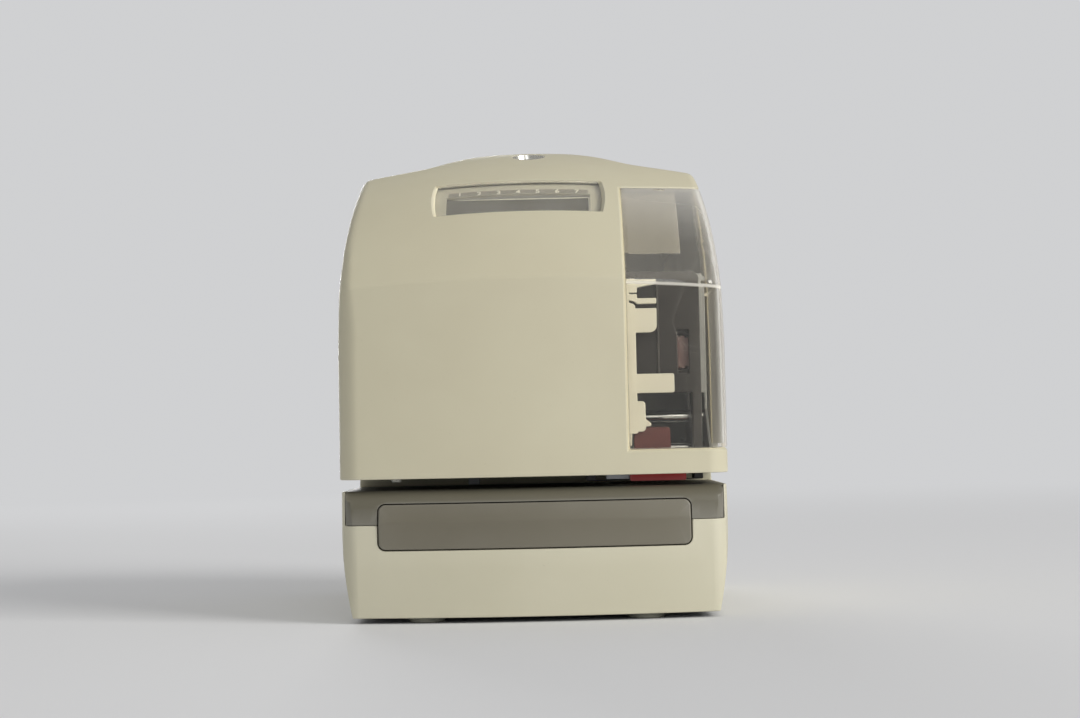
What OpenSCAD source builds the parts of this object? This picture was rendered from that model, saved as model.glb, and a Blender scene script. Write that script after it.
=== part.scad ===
// Desktop time stamp machine: a lift-off cover with a smoked side window over a print unit,
// on a base with a paper table, an open paper slot and a wide push bar.

/* [Cover] */
// Width across the cover's sides
cover_w = 166; // [160:1:176]
// Depth of the machine, front to back
body_d = 190; // [184:1:204]
// Height of the hump's top above the cover's lower edge
cover_h = 151.2; // [148:0.2:156]
// Thickness of the moulded walls
wall = 2.5; // [2:0.1:3]
// How far the cover's front stands behind the base's front edge
cover_setback = 1; // [0.6:0.2:2]
// Lean of the cover's front, in degrees
cover_lean = 1.5; // [0.5:0.1:2.5]
// Radius of the bowed front, seen from above
front_bow_r = 452; // [420:4:600]
// Radius of the upright front corners
corner_r = 9; // [7:0.5:11]
// Radius of the upright rear corners
rear_corner_r = 6; // [4:0.5:8]
// Radius of the rounded upper face, seen from the side
crown_r = 121.8; // [119:0.2:124]
// Distance of the crown's centre behind the front edge
crown_back = 112; // [109:0.5:115]
// Radius of the crown's fall towards both sides
crown_side_r = 420; // [380:10:500]
// Height above the lower edge at which the sides begin to lean in
side_start = 49.1; // [40:0.5:60]
// Radius of the leaning sides, seen from the front
side_r = 490; // [460:10:600]
// Width of the hump at its foot
hump_foot_w = 94; // [88:1:100]
// Width over which the hump is round
hump_w = 62; // [56:1:66]
// Radius of the hump
hump_r = 97; // [90:1:110]
// Height of the hump's foot below its top
hump_foot_drop = 10.9; // [10:0.1:12]
// Fall of the shoulders for each millimetre outwards
shoulder_fall = 0.183; // [0.15:0.005:0.22]

/* [Base] */
// How much narrower each side of the base is than the cover
base_step = 0.8; // [0.4:0.1:1.5]
// Height of the rubber feet
foot_h = 2.4; // [1.8:0.2:4]
// Radius of the rubber feet
foot_r = 8; // [6:0.5:9]
// Distance between the left and right feet
foot_span = 93; // [80:1:110]
// Distance of the front feet from the front edge
foot_inset = 16; // [14:1:24]
// Distance of the rear feet from the rear face
rear_foot_inset = 18; // [14:1:30]
// Height of the front edge, where the front leans back above and below
front_edge_z = 22; // [18:1:26]
// Lean of the front above its edge, in degrees
upper_lean = 3; // [2:0.2:4]
// Undercut of the front below its edge, in degrees
lower_lean = 8; // [5:0.5:10]
// Height of the base's widest line
belly_z = 45; // [40:1:50]
// Radius of the base's sides, seen from the front
belly_r = 212; // [180:4:300]
// Thickness of the bottom plate
bottom_t = 2; // [1.6:0.2:3]
// Number of vents in each row of the bottom plate
vent_count = 9; // [5:1:11]
// Length of a vent
vent_l = 26; // [18:1:30]
// Width of a vent
vent_w = 3; // [2:0.5:4]

/* [Paper slot] */
// Height of the paper table
table_z = 56; // [54:0.5:60]
// Height of the slot between the table and the cover
slot_h = 4.9; // [4.9:0.1:6]
// Depth of the slot from the front edge
throat_d = 90; // [84:1:96]
// Gap between the base's rear deck and the cover
parting = 0.4; // [0.3:0.1:0.8]
// Radius of the table's front lip
lip_r = 8; // [6:0.5:10]
// Width of the cream strip at each end of the table
strip_w = 1.8; // [1.5:0.1:2.4]
// Height of the table's grey apron at the front
apron_h = 14.2; // [12:0.2:16]
// Thickness of the table's moulding
table_t = 2.2; // [1.8:0.1:2.6]

/* [Push bar] */
// Width of the push bar
bar_w = 131.8; // [120:1:138]
// Height of the push bar
bar_h = 18.9; // [16:0.5:20]
// Height of the bar's lower edge
bar_z = 31.3; // [29:0.5:32]
// Radius of the bar's corners
bar_corner_r = 3; // [2:0.5:5]
// Height of the bar's most forward line above its lower edge
bar_crest = 11.7; // [9:0.5:13]
// Lean of the bar's face above that line, in degrees
bar_lean = 12; // [8:1:14]
// Travel of the bar
bar_travel = 2.5; // [2:0.1:3]
// Distance between the bar's two springs
spring_span = 90; // [70:1:100]
// Outer radius of a bar spring
spring_r = 3.4; // [3:0.1:4]
// Wire thickness of a bar spring
spring_wire = 0.8; // [0.6:0.1:1]
// Turns of a bar spring
spring_turns = 7; // [5:1:9]

/* [Side window] */
// Width of the window, from its left edge to the cover's side
window_w = 42.4; // [40:0.2:44]
// Height of the window's lower edge above the cover's lower edge
window_low = 10.5; // [10:0.5:14]
// Height of the window's upper edge above the cover's lower edge
window_high = 126; // [122:0.5:127]
// How far the window wraps round the side, from the front edge
window_wrap = 62; // [54:1:70]
// Thickness of the window
window_t = 2; // [1.6:0.1:2.4]

/* [Display] */
// Distance between the display pocket and the window
display_gap = 6.85; // [6.5:0.05:9]
// Angle of the display's face above the horizontal, in degrees
display_angle = 39.6; // [39:0.1:41]
// Width of the display pocket
pocket_w = 76.5; // [72:0.5:78]
// Height of the display pocket along the slope
pocket_h = 24.9; // [23:0.1:25]
// Radius of the pocket's bowed ends
pocket_end_r = 60; // [50:1:90]
// Thickness of the lens
lens_t = 2; // [1.6:0.1:2.4]
// Width of the clear opening over the glass
glass_w = 61.7; // [56:0.1:64]
// Height of the clear opening over the glass
glass_h = 10.3; // [9:0.1:11]
// How far the glass is below the pocket's middle
glass_drop = 4.5; // [4:0.1:5]
// Depth of the display housing below the cover's face
housing_depth = 4.4; // [4.4:0.1:5]
// Thickness of the display housing
housing_t = 2; // [1.6:0.1:2.4]
// How far the housing reaches right of the window's left edge
housing_reach = 24.4; // [22:0.2:26]
// Height of the housing's lower edge above the cover's lower edge
housing_low = 93.7; // [92:0.2:96]
// Radius of a setting button
button_r = 3.5; // [3:0.1:4]
// Distance between the setting buttons
button_pitch = 14; // [12:0.5:16]
// Travel of a setting button
button_travel = 0.8; // [0.5:0.1:1]

/* [Lock] */
// Distance of the lock behind the front edge
lock_back = 77; // [75:0.5:79]
// Radius of the lock's recess
lock_recess_r = 7.4; // [7.2:0.1:8]
// Radius of the turning plug
plug_r = 5.6; // [5:0.1:5.8]
// Radius of the lock body's barrel
lock_body_r = 6.6; // [6.4:0.1:7]
// Length of the lock body
lock_l = 24; // [22:0.5:26]
// Radius of the lock nut
lock_nut_r = 12; // [11:0.5:13]
// Reach of the cam from the plug's axis
cam_reach = 16; // [14:0.5:18]

/* [Chassis] */
// Thickness of the sheet metal
sheet = 1.2; // [1:0.1:1.6]
// Distance of the side plates' outer face from the cover's outer side
plate_inset = 7; // [6.8:0.1:8]
// Height of the side plates' top above the cover's lower edge
plate_top = 85; // [80:1:87]
// Distance of the rear tie plate from the rear face
tie_inset = 37; // [34:1:42]
// Height of the roof plate above the cover's lower edge
roof_up = 111.1; // [108:0.5:114]
// Width of the roof plate
roof_w = 132; // [124:1:136]

/* [Print unit] */
// Distance of the print line behind the bowed front at the window's left edge
head_back = 23.2; // [23:0.1:24]
// Width of the head's nose
nose_w = 10; // [8:0.5:12]
// Distance from the window's left edge to the head's middle at rest, leftwards
head_home = 4.6; // [4:0.2:6]
// Travel of the carriage
carriage_travel = 23; // [18:1:23]
// Width of the carriage
carriage_w = 14; // [12:0.5:15]
// Radius of the guide rods
rod_r = 3; // [2.5:0.1:3.2]
// Height of the lower guide rod above the slot ceiling
rod_up = 8.8; // [8:0.2:10]
// Distance between the two guide rods
rod_pitch = 14; // [13:0.5:16]
// Radius of the belt pulleys
pulley_r = 5.5; // [5:0.25:6]
// Height of the pulleys
pulley_h = 7; // [6:0.5:8]
// Thickness of the belt
belt_t = 0.8; // [0.6:0.1:1]
// Radius of the carriage motor
motor_r = 12; // [10:0.5:12]
// Height of the carriage motor
motor_h = 25; // [20:1:28]

/* [Ribbon] */
// Width of the ribbon cassette
cassette_w = 54; // [52:0.5:54.5]
// Height of the ribbon cassette
cassette_h = 52; // [50:1:54]
// Thickness of the ribbon cassette
cassette_t = 13; // [12:0.5:13]
// Height of the cassette above the slot ceiling
cassette_up = 32.8; // [32:0.2:34]
// Width of the cassette's two prongs
prong_w = 4; // [3.5:0.1:4.5]
// Width of the ribbon
ribbon_w = 8; // [7:0.5:10]
// Radius of the ribbon wheel
wheel_r = 7.2; // [6.4:0.2:7.4]
// Radius of the ribbon wheel's spindle
spindle_r = 3; // [2.5:0.1:3.5]
// Thickness of the white bracket
bracket_t = 3; // [2.5:0.1:3.2]
// Height of the white bracket's step above the slot ceiling
bracket_step = 10.5; // [9.5:0.5:11.5]

/* [Paper lever] */
// Distance of the paper lever left of the centre line
lever_left = 26.5; // [24:0.5:29]
// Width of the paper lever
lever_w = 5; // [4:0.5:6]
// Distance of the lever's pin behind the front edge
lever_back = 43; // [40:1:46]
// Radius of the lever's pin
pin_r = 1.5; // [1.2:0.1:2]
// Greatest turn of the lever, in degrees
lever_turn = 25; // [20:1:28]
// Distance of the paper sensor left of the centre line
sensor_left = 59; // [56:0.5:62]

/* [Electronics] */
// Width of the main board
board_w = 124; // [110:1:130]
// Height of the main board
board_h = 84; // [76:1:90]
// Thickness of the boards
board_t = 1.6; // [1.2:0.2:2]
// Radius of the power inlet's bore
jack_r = 2.8; // [2.6:0.1:3.2]
// Radius of the power inlet's centre pin
jack_pin_r = 1.05; // [0.9:0.05:1.3]
// Depth of the power inlet's bore
jack_depth = 9.5; // [8:0.5:11]
// Height of the power inlet's middle
jack_z = 25; // [23:1:30]
// Distance of the power inlet left of the centre line
jack_left = 50; // [44:1:54]

/* [Fits] */
// Radial clearance of a shaft that turns or slides in a bore
run = 0.05; // [0.02:0.01:0.08]
// Gap round a fixed piece let into another
seat_gap = 0.2; // [0.1:0.05:0.4]
// Gap round a piece that moves in an opening
move_gap = 0.5; // [0.4:0.1:0.8]

/* [Hidden] */

half = cover_w / 2;
front = -body_d / 2;
back = body_d / 2;
cover_z = table_z + slot_h;
deck_z = cover_z - parting;
throat_y = front + throat_d;
cover_front = front + cover_setback;
crown_z = cover_z + cover_h;
axis_y = front + crown_back;
axis_z = crown_z - crown_r;
round_fn = 96;
wide_fn = 720;

// Helpers

// A box between two corners
module slab(low, high) translate(low) cube(high - low);

// A flat (x, z) shape drawn along Y from y0 to y1
module along_y(y0, y1) translate([0, y1, 0]) rotate([90, 0, 0]) linear_extrude(y1 - y0) children();

// A flat (y, z) shape drawn along X from x0 to x1
module along_x(x0, x1) translate([x0, 0, 0]) rotate([90, 0, 90]) linear_extrude(x1 - x0) children();

// A flat rectangle with round corners between two corners
module rounded(low, high, r) union() {
  translate([low.x + r, low.y]) square([high.x - low.x - 2 * r, high.y - low.y]);
  translate([low.x, low.y + r]) square([high.x - low.x, high.y - low.y - 2 * r]);
  for (x = [low.x + r, high.x - r], y = [low.y + r, high.y - r]) translate([x, y])
    circle(r = r, $fn = 48);
}

// Round bars along each axis
module bar_x(x0, x1, y, z, r) translate([x0, y, z]) rotate([0, 90, 0])
  cylinder(h = x1 - x0, r = r, $fn = 48);
module bar_y(y0, y1, x, z, r) translate([x, y1, z]) rotate([90, 0, 0])
  cylinder(h = y1 - y0, r = r, $fn = 48);
module bar_z(z0, z1, x, y, r) translate([x, y, z0]) cylinder(h = z1 - z0, r = r, $fn = 48);

// Plan of a bowed front whose corner arcs run smoothly into the bow
module bowed_plan(w, y0, y1, bow, corner) {
  middle = [0, y0 + bow];
  cx = w - corner;
  cy = middle.y - sqrt(pow(bow - corner, 2) - pow(cx, 2));
  aim = ([cx, cy] - middle) / norm([cx, cy] - middle);
  tip = middle + aim * (bow + corner);
  difference() {
    intersection() {
      translate(middle) circle(r = bow, $fn = wide_fn);
      translate([-w, y0 - 1]) square([2 * w, y1 - y0 + 1]);
    }
    for (s = [-1, 1]) difference() {
      polygon([[s * cx, cy], [s * (w + 1), cy], [s * (w + 1), y0 - 1], [s * tip.x, tip.y]]);
      translate([s * cx, cy]) circle(r = corner, $fn = round_fn);
    }
  }
}

// Plan of the square body with round rear corners
module rear_plan(w, inset) {
  r = max(rear_corner_r - inset, 0.5);
  y1 = back - inset;
  translate([-w, front * 1.3]) square([2 * w, y1 - r - front * 1.3]);
  translate([r - w, front * 1.3]) square([2 * (w - r), y1 - front * 1.3]);
  for (s = [-1, 1]) translate([s * (w - r), y1 - r]) circle(r = r, $fn = round_fn);
}

// A tilted upright front, leaning back by an angle about its edge at height z
module leaning_front(w, y, z, lean, inset) translate([0, y, z]) rotate([-lean, 0, 0])
  translate([0, -y, -body_d]) linear_extrude(body_d + crown_z)
    bowed_plan(w - inset, y + inset, back * 1.5, front_bow_r - inset, max(corner_r - inset, 0.5));

// The cover's outline from the front
hump_edge_z = crown_z - hump_r + sqrt(pow(hump_r, 2) - pow(hump_w / 2, 2));
hump_foot_z = crown_z - hump_foot_drop;
side_z = cover_z + side_start;
module cover_outline(inset) {
  w = half - inset;
  foot = hump_foot_w / 2;
  shoulder = hump_foot_z - (half - foot) * shoulder_fall;
  intersection() {
    union() {
      translate([-w, cover_z - 20]) square([2 * w, side_start + 20]);
      intersection() {
        translate([half - side_r, side_z]) circle(r = side_r - inset, $fn = wide_fn);
        translate([side_r - half, side_z]) circle(r = side_r - inset, $fn = wide_fn);
        translate([-w, side_z]) square([2 * w, cover_h]);
      }
    }
    union() {
      translate([0, -inset]) polygon([
        [-half, shoulder], [-foot, hump_foot_z], [-hump_w / 2, hump_edge_z], [hump_w / 2, hump_edge_z],
        [foot, hump_foot_z], [half, shoulder], [half, 0], [-half, 0]
      ]);
      intersection() {
        translate([0, crown_z - hump_r]) circle(r = hump_r - inset, $fn = wide_fn);
        translate([-hump_w / 2, side_z]) square([hump_w, cover_h]);
      }
    }
  }
}

// The crown: an arc turned about a line across the machine
module crown(inset) translate([0, axis_y, axis_z]) rotate([0, 90, 0]) rotate_extrude($fn = 360)
  intersection() {
  translate([crown_r - crown_side_r, 0]) circle(r = crown_side_r - inset, $fn = wide_fn);
  translate([0, -half - 5]) square([crown_r + 5, cover_w + 10]);
}

// The whole form of the cover, shrunk on every side by inset
module cover_form(inset) intersection() {
  along_y(front * 1.3, back * 1.3) cover_outline(inset);
  leaning_front(half, cover_front, cover_z, cover_lean, inset);
  linear_extrude(crown_z + 10) rear_plan(half - inset, inset);
  crown(inset);
}

// The whole form of the base, shrunk on every side by inset and open at the bottom
base_half = half - base_step;
module base_outline(inset) intersection() {
  translate([base_half - belly_r, belly_z]) circle(r = belly_r - inset, $fn = wide_fn);
  translate([belly_r - base_half, belly_z]) circle(r = belly_r - inset, $fn = wide_fn);
  translate([inset - base_half, foot_h - inset]) square([2 * (base_half - inset), deck_z - foot_h]);
}
module base_form(inset) intersection() {
  along_y(front * 1.3, back * 1.3) base_outline(inset);
  leaning_front(base_half, front, front_edge_z, upper_lean, inset);
  leaning_front(base_half, front, front_edge_z, -lower_lean, inset);
  linear_extrude(deck_z + 10) rear_plan(base_half - inset, inset);
}

// Cover

window_x = half - window_w;
window_z = cover_z + window_low;
window_top = cover_z + window_high;
window_y = front + window_wrap;
module window_box(gap) slab(
  [window_x + gap, front * 1.3, window_z + gap], [half + 10, window_y - gap, window_top - gap]
);

// Moves its children to the display's middle on the crown, with X across, Y up the slope and Z outwards
display_x = window_x - display_gap - pocket_w / 2;
module at_display() translate([display_x, axis_y, axis_z]) rotate([display_angle, 0, 0])
  translate([0, 0, crown_r]) children();

// The pocket's outline: straight long edges and bowed ends
module pocket_outline(gap) intersection() {
  square([pocket_w - 2 * gap, pocket_h - 2 * gap], center = true);
  translate([pocket_end_r - pocket_w / 2, 0]) circle(r = pocket_end_r - gap, $fn = wide_fn);
  translate([pocket_w / 2 - pocket_end_r, 0]) circle(r = pocket_end_r - gap, $fn = wide_fn);
}

// Moves its children to the lock's middle on the crown, with Z along the lock
lock_angle = asin((axis_y - front - lock_back) / crown_r);
module at_lock() translate([0, axis_y, axis_z]) rotate([lock_angle, 0, 0]) translate([0, 0, crown_r])
  children();
lock_dish = 3.5;
lock_hole_r = lock_body_r + 0.1;

// Places of the window's screws: along its left flange
flange_w = 4;
glue_gap = 0.05;
flange_t = 1.7;
window_screw_x = window_x - flange_w / 2;
window_screw_z = [window_z + 16, window_z + 62];
module window_screw_hole(r) for (z = window_screw_z) bar_y(front, front + 16, window_screw_x, z, r);

// The cover: one moulded shell with the window's opening, the display pocket and the lock's dish
module cover_shell() color("Ivory") difference() {
  union() {
    difference() {
      intersection() {
        cover_form(0);
        slab([-half - 5, front * 1.3, cover_z], [half + 5, back * 1.3, crown_z + 5]);
      }
      cover_form(wall);
    }
    intersection() {
      cover_form(wall / 2);
      at_lock() translate([0, 0, -lock_dish - wall])
        cylinder(h = lock_dish + wall, r = lock_recess_r + wall, $fn = 64);
    }
  }
  window_box(0);
  at_display() linear_extrude(20, center = true) pocket_outline(0);
  at_lock() translate([0, 0, -lock_dish]) cylinder(h = 10, r = lock_recess_r, $fn = 64);
  at_lock() cylinder(h = 40, r = lock_hole_r, center = true, $fn = 64);
  intersection() {
    window_screw_hole(0.9);
    cover_form(1);
  }
}

// The window: a smoked pane in the cover's opening, with a rim and a flange behind the cover's wall
module side_window() color("DimGray", 0.5) difference() {
  union() {
    difference() {
      intersection() {
        cover_form(0);
        window_box(seat_gap);
      }
      cover_form(window_t);
    }
    difference() {
      intersection() {
        cover_form(window_t / 2);
        window_box(seat_gap);
      }
      window_box(seat_gap + flange_t);
      cover_form(wall + flange_t);
    }
    difference() {
      intersection() {
        cover_form(wall + glue_gap);
        window_box(-flange_w);
      }
      window_box(seat_gap + flange_t);
      cover_form(wall + flange_t);
    }
  }
  window_screw_hole(1.1);
}

// Small screws through the window's flange into the cover
module window_screws() color("Silver") {
  intersection() {
    window_screw_hole(0.9);
    difference() {
      cover_form(1);
      cover_form(wall + flange_t + 1);
    }
  }
  intersection() {
    window_screw_hole(1.8);
    difference() {
      cover_form(wall + flange_t);
      cover_form(wall + flange_t + 1);
    }
  }
}

// The clear lens in the display pocket, with a rim round its underside
module display_lens() color("White", 0.3) intersection() {
  at_display() linear_extrude(20, center = true) pocket_outline(seat_gap);
  union() {
    difference() {
      cover_form(0);
      cover_form(lens_t);
    }
    difference() {
      cover_form(lens_t / 2);
      cover_form(wall + 0.5);
      at_display() linear_extrude(20, center = true) pocket_outline(seat_gap + 1.2);
    }
  }
}

// The lock body: a round head in the dish and a barrel through the cover
module lock_body() color("Silver") at_lock() difference() {
  union() {
    translate([0, 0, -lock_dish]) cylinder(h = 1.4, r = lock_recess_r - 0.1, $fn = 64);
    translate([0, 0, -lock_l]) cylinder(h = lock_l - lock_dish, r = lock_body_r, $fn = 64);
  }
  translate([0, 0, -lock_l - 1]) cylinder(h = lock_l + 2, r = plug_r + run, $fn = 64);
}

module lock_nut() color("Goldenrod") at_lock() translate([0, 0, -lock_dish - wall - 3]) difference() {
  cylinder(h = 3, r = lock_nut_r, $fn = 6);
  translate([0, 0, -1]) cylinder(h = 5, r = lock_body_r + 0.1, $fn = 64);
}

// The plug that the key turns, with its keyway and a square tail for the cam
cam_t = 1.8;
tail = 5;
module lock_plug() color("Silver") at_lock() difference() {
  union() {
    translate([0, 0, -lock_l]) cylinder(h = lock_l - lock_dish + 1, r = plug_r, $fn = 64);
    translate([-tail / 2, -tail / 2, -lock_l - cam_t - 1.2]) cube([tail, tail, cam_t + 1.4]);
  }
  translate([-0.7, -3.2, -lock_dish - 9]) cube([1.4, 6.4, 12]);
}

// The cam on the plug's tail, turned clear of its catch
cam_top = -lock_l - 0.6;
module lock_cam() color("Silver") at_lock() translate([0, 0, cam_top - cam_t]) linear_extrude(cam_t)
  difference() {
  union() {
    circle(r = 5.5, $fn = 48);
    translate([0, -4]) square([cam_reach - 4, 8]);
    translate([cam_reach - 4, 0]) circle(r = 4, $fn = 48);
  }
  square(tail + 0.1, center = true);
}

// Base

table_half = base_half - strip_w - seat_gap;
apron_z = table_z - apron_h;
plate_z = foot_h + bottom_t;
boss_x = base_half - 11;
boss_y = [front + 26, back - 20];
boss_h = 15;
deck_screw_y = [throat_y + 16, back - 40];
plate_out = half - plate_inset;
plate_in = plate_out - sheet;
deck_screw_x = plate_in - 6;
module at_bosses() for (x = [-boss_x, boss_x], y = boss_y) translate([x, y, 0]) children();
module at_deck_screws() for (x = [-deck_screw_x, deck_screw_x], y = deck_screw_y) translate([x, y, 0])
  children();

// The push bar's outline from the front
module bar_outline(inset) rounded(
  [inset - bar_w / 2, bar_z + inset], [bar_w / 2 - inset, bar_z + bar_h - inset],
    max(bar_corner_r - inset, 0.6)
);

// The base: the lower housing with its deck, the throat's rear wall and the table's ledge
module base_shell() color("Ivory") difference() {
  union() {
    difference() {
      base_form(0);
      intersection() {
        base_form(wall);
        slab([-half, front, foot_h - 1], [half, back, deck_z]);
      }
    }
    intersection() {
      base_form(wall / 2);
      union() {
        slab([-half, throat_y, table_z - table_t - 3], [half, throat_y + wall, deck_z - 1]);
        slab([-half, throat_y - 4, table_z - table_t - 3], [half, throat_y + 1, table_z - table_t]);
        at_bosses() translate([0, 0, plate_z]) cylinder(h = boss_h, r = 4, $fn = 48);
        for (s = [-1, 1], y = boss_y) translate([s * (boss_x + 7), y, plate_z + boss_h / 2])
          cube([14, 2, boss_h], center = true);
        at_deck_screws() translate([0, 0, deck_z - 11]) cylinder(h = 10.5, r = 4, $fn = 48);
      }
    }
    intersection() {
      linear_extrude(cover_z - 0.05) rear_plan(half - 1, 1);
      union() for (s = [-1, 1]) {
        slab([s * (half - 1.3) - 0.7, throat_y + 10, deck_z - 1],
          [s * (half - 1.3) + 0.7, throat_y + 22, cover_z]);
        slab([s * (half - 1.3) - 0.7, back - 30, deck_z - 1], [s * (half - 1.3) + 0.7, back - 18,
          cover_z]);
      }
    }
  }
  slab([-half, front * 1.3, table_z], [half, throat_y, deck_z + 1]);
  slab([-table_half - seat_gap, front * 1.3, apron_z - seat_gap], [table_half + seat_gap, throat_y - 4,
    deck_z]);
  slab([-table_half - seat_gap, throat_y - 5, table_z - table_t],
    [table_half + seat_gap, throat_y, deck_z]);
  along_y(front - 5, front + 20) bar_outline(-move_gap);
  bar_y(back - 10, back + 5, -jack_left, jack_z, 5.2);
  at_bosses() translate([0, 0, plate_z - 1]) cylinder(h = 12, r = 1.45, $fn = 32);
  at_deck_screws() translate([0, 0, deck_z - 9]) cylinder(h = 12, r = 1.45, $fn = 32);
}

// The bottom plate: vents in two rows, screw holes and four posts for the power board
power_board_z = jack_z - 7.6;
power_board_low = [-jack_left - 16, back - 50];
power_board_high = [-jack_left + 30, back - 7];
post_r = 3;
module at_power_posts() for (x = [power_board_low.x + 4, power_board_high.x - 4])
  for (y = [power_board_low.y + 4, power_board_high.y - 4]) translate([x, y, 0]) children();
module bottom_plate() color("Gray") difference() {
  union() {
    intersection() {
      base_form(wall + seat_gap);
      slab([-half, front, foot_h], [half, back, plate_z]);
    }
    at_power_posts() bar_z(foot_h + bottom_t / 2, power_board_z, 0, 0, post_r);
  }
  for (row = [-1, 1], i = [0:vent_count - 1])
    translate([(i - (vent_count - 1) / 2) * vent_w * 2.4, 12 + row * (vent_l / 2 + 4), foot_h - 1])
      linear_extrude(bottom_t + 2) rounded([-vent_w / 2, -vent_l / 2], [vent_w / 2, vent_l / 2],
        vent_w / 2 - 0.01);
  at_bosses() bar_z(foot_h - 1, plate_z + 1, 0, 0, 1.6);
  at_bosses() bar_z(foot_h - 1, foot_h + bottom_t * 0.6, 0, 0, 3.1);
}

module bottom_screws() color("Silver") at_bosses() difference() {
  union() {
    bar_z(foot_h + 0.1, foot_h + bottom_t * 0.6, 0, 0, 2.9);
    bar_z(foot_h + bottom_t * 0.5, plate_z + 9, 0, 0, 1.4);
  }
  for (a = [0, 90]) rotate([0, 0, a]) translate([-1.6, -0.3, foot_h - 0.4]) cube([3.2, 0.6, 1]);
}

module rubber_feet() color("DimGray")
  for (x = [-foot_span / 2, foot_span / 2], y = [front + foot_inset, back - rear_foot_inset])
    translate([x, y, 0]) rotate_extrude($fn = 64)
      polygon([[0, 0], [foot_r - 0.8, 0], [foot_r, 0.8], [foot_r, foot_h], [0, foot_h]]);

// Print unit places, measured from the window's left edge and the slot ceiling
ceiling_low = cover_z + 0.3;
ceiling_z = ceiling_low + sheet;
head_x = window_x - head_home;
head_y = front + front_bow_r - sqrt(pow(front_bow_r, 2) - pow(window_x, 2)) + head_back;
cassette_right = window_x + 31.9;
cassette_left = cassette_right - cassette_w;
prong_left = cassette_left + 4;
opening_gap = 0.7;

// The table: its front is turned about the bow's axis, with a round lip over a leaning apron
lip_z = table_z - lip_r;
lean_reach = front_bow_r + front_edge_z * tan(upper_lean);
lip_x = lean_reach - lip_z * tan(upper_lean) - lip_r / cos(upper_lean);
table_back_r = front_bow_r - throat_d - 10;
module table_section(inset) {
  reach = lean_reach - inset / cos(upper_lean);
  tip = [lip_x + (lip_r - inset) * cos(upper_lean), lip_z + (lip_r - inset) * sin(upper_lean)];
  polygon([
    [table_back_r, apron_z - inset], [reach - (apron_z - inset) * tan(upper_lean), apron_z - inset],
      tip,
    [lip_x, lip_z], [lip_x, table_z - inset], [table_back_r, table_z - inset]
  ]);
  intersection() {
    translate([lip_x, lip_z]) circle(r = lip_r - inset, $fn = round_fn);
    polygon([[lip_x, lip_z], [lip_x, table_z], [lip_x + lip_r, table_z], 2 * tip - [lip_x, lip_z]]);
  }
}
module table_corner() linear_extrude(table_z + 1) difference() {
  translate([base_half - corner_r, front - 1]) square([corner_r, corner_r]);
  translate([base_half - corner_r - 0.6, front + corner_r + 6.6]) circle(r = corner_r, $fn = round_fn);
}
module table_opening() {
  w = bar_w / 2 + move_gap;
  top = bar_z + bar_h + move_gap;
  cut = bar_corner_r / 2;
  polygon([[-w, apron_z - 1], [-w, top - cut], [cut - w, top], [w - cut, top], [w, top - cut],
    [w, apron_z - 1]]);
}
platen_low = [prong_left, head_y - 7];
platen_high = [cassette_right, head_y + 7];
platen_t = 1.4;
module paper_table() color("Gray") difference() {
  intersection() {
    translate([0, front + front_bow_r, 0]) rotate_extrude($fn = wide_fn) difference() {
      table_section(0);
      table_section(table_t);
    }
    slab([-table_half, front - 1, apron_z], [table_half, throat_y - seat_gap, table_z]);
  }
  for (m = [0, 1]) mirror([m, 0, 0]) table_corner();
  along_y(front - 5, front + 20) table_opening();
  translate([0, 0, table_z - platen_t]) linear_extrude(5) rounded(platen_low, platen_high, 2);
}

module platen_pad() color("DarkSlateGray") translate([0, 0, table_z - platen_t])
  linear_extrude(platen_t)
  rounded(platen_low, platen_high, 2);

// The push bar: a bowed face with a crest line, skirts, a catch flange behind the wall and its pusher
bar_crest_z = bar_z + bar_crest;
bar_face = 2.2;
flange_back = wall + 2;
pusher_y = front + 15.8;
module bar_face_form(inset) intersection() {
  leaning_front(base_half, front, bar_crest_z, 0, inset);
  leaning_front(base_half, front, bar_crest_z, bar_lean, inset);
}
module push_bar() color("Gray") {
  difference() {
    union() {
      difference() {
        intersection() {
          bar_face_form(0);
          along_y(front - 5, front + 25) bar_outline(0);
        }
        base_form(flange_back);
      }
      difference() {
        intersection() {
          base_form(wall + 0.4);
          along_y(front - 5, front + 25) bar_outline(-2.4);
          slab([-half, front - 5, foot_h], [half, front + 25, lip_z + 1.8]);
        }
        base_form(flange_back);
      }
    }
    intersection() {
      bar_face_form(bar_face);
      along_y(front - 5, front + 25) bar_outline(2);
    }
  }
  slab([-6, front + bar_face - 0.6, bar_z + 6.2], [6, pusher_y, bar_z + 11.2]);
  intersection() {
    bar_face_form(bar_face / 2);
    for (s = [-1, 1]) bar_y(front, front + 9, s * spring_span / 2, spring_z,
      spring_r - spring_wire - 0.4);
  }
}

// Two coil springs, each one wire wound from the bar's face to the bracket
spring_z = bar_z + 8.7;
spring_y0 = front + bar_face + front_bow_r - sqrt(pow(front_bow_r, 2) - pow(spring_span / 2, 2)) + 0.6;
bracket_y = front + 27;
spring_pitch_r = spring_r - spring_wire / 2;
spring_end = spring_wire / 2;
function coil_point(t) = [
  spring_pitch_r * cos(360 * spring_turns * t),
  spring_y0 + spring_end + (bracket_y - spring_y0 - 2 * spring_end) * t,
  spring_pitch_r * sin(360 * spring_turns * t)
];
function coil_ring(t) = let (c = coil_point(t), out = [cos(360 * spring_turns * t), 0,
  sin(360 * spring_turns * t)])
  [for (k = [0:5]) c + spring_wire / 2 * (cos(60 * k) * out + sin(60 * k) * [0, 1, 0])];
spring_rings = spring_turns * 8;
spring_gap = min([
  for (i = [0:spring_rings - 8]) norm(coil_point((i + 8) / spring_rings) - coil_point(i / spring_rings))
]) - spring_wire;
echo(least_gap_between_a_bar_spring_s_turns = spring_gap);
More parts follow.
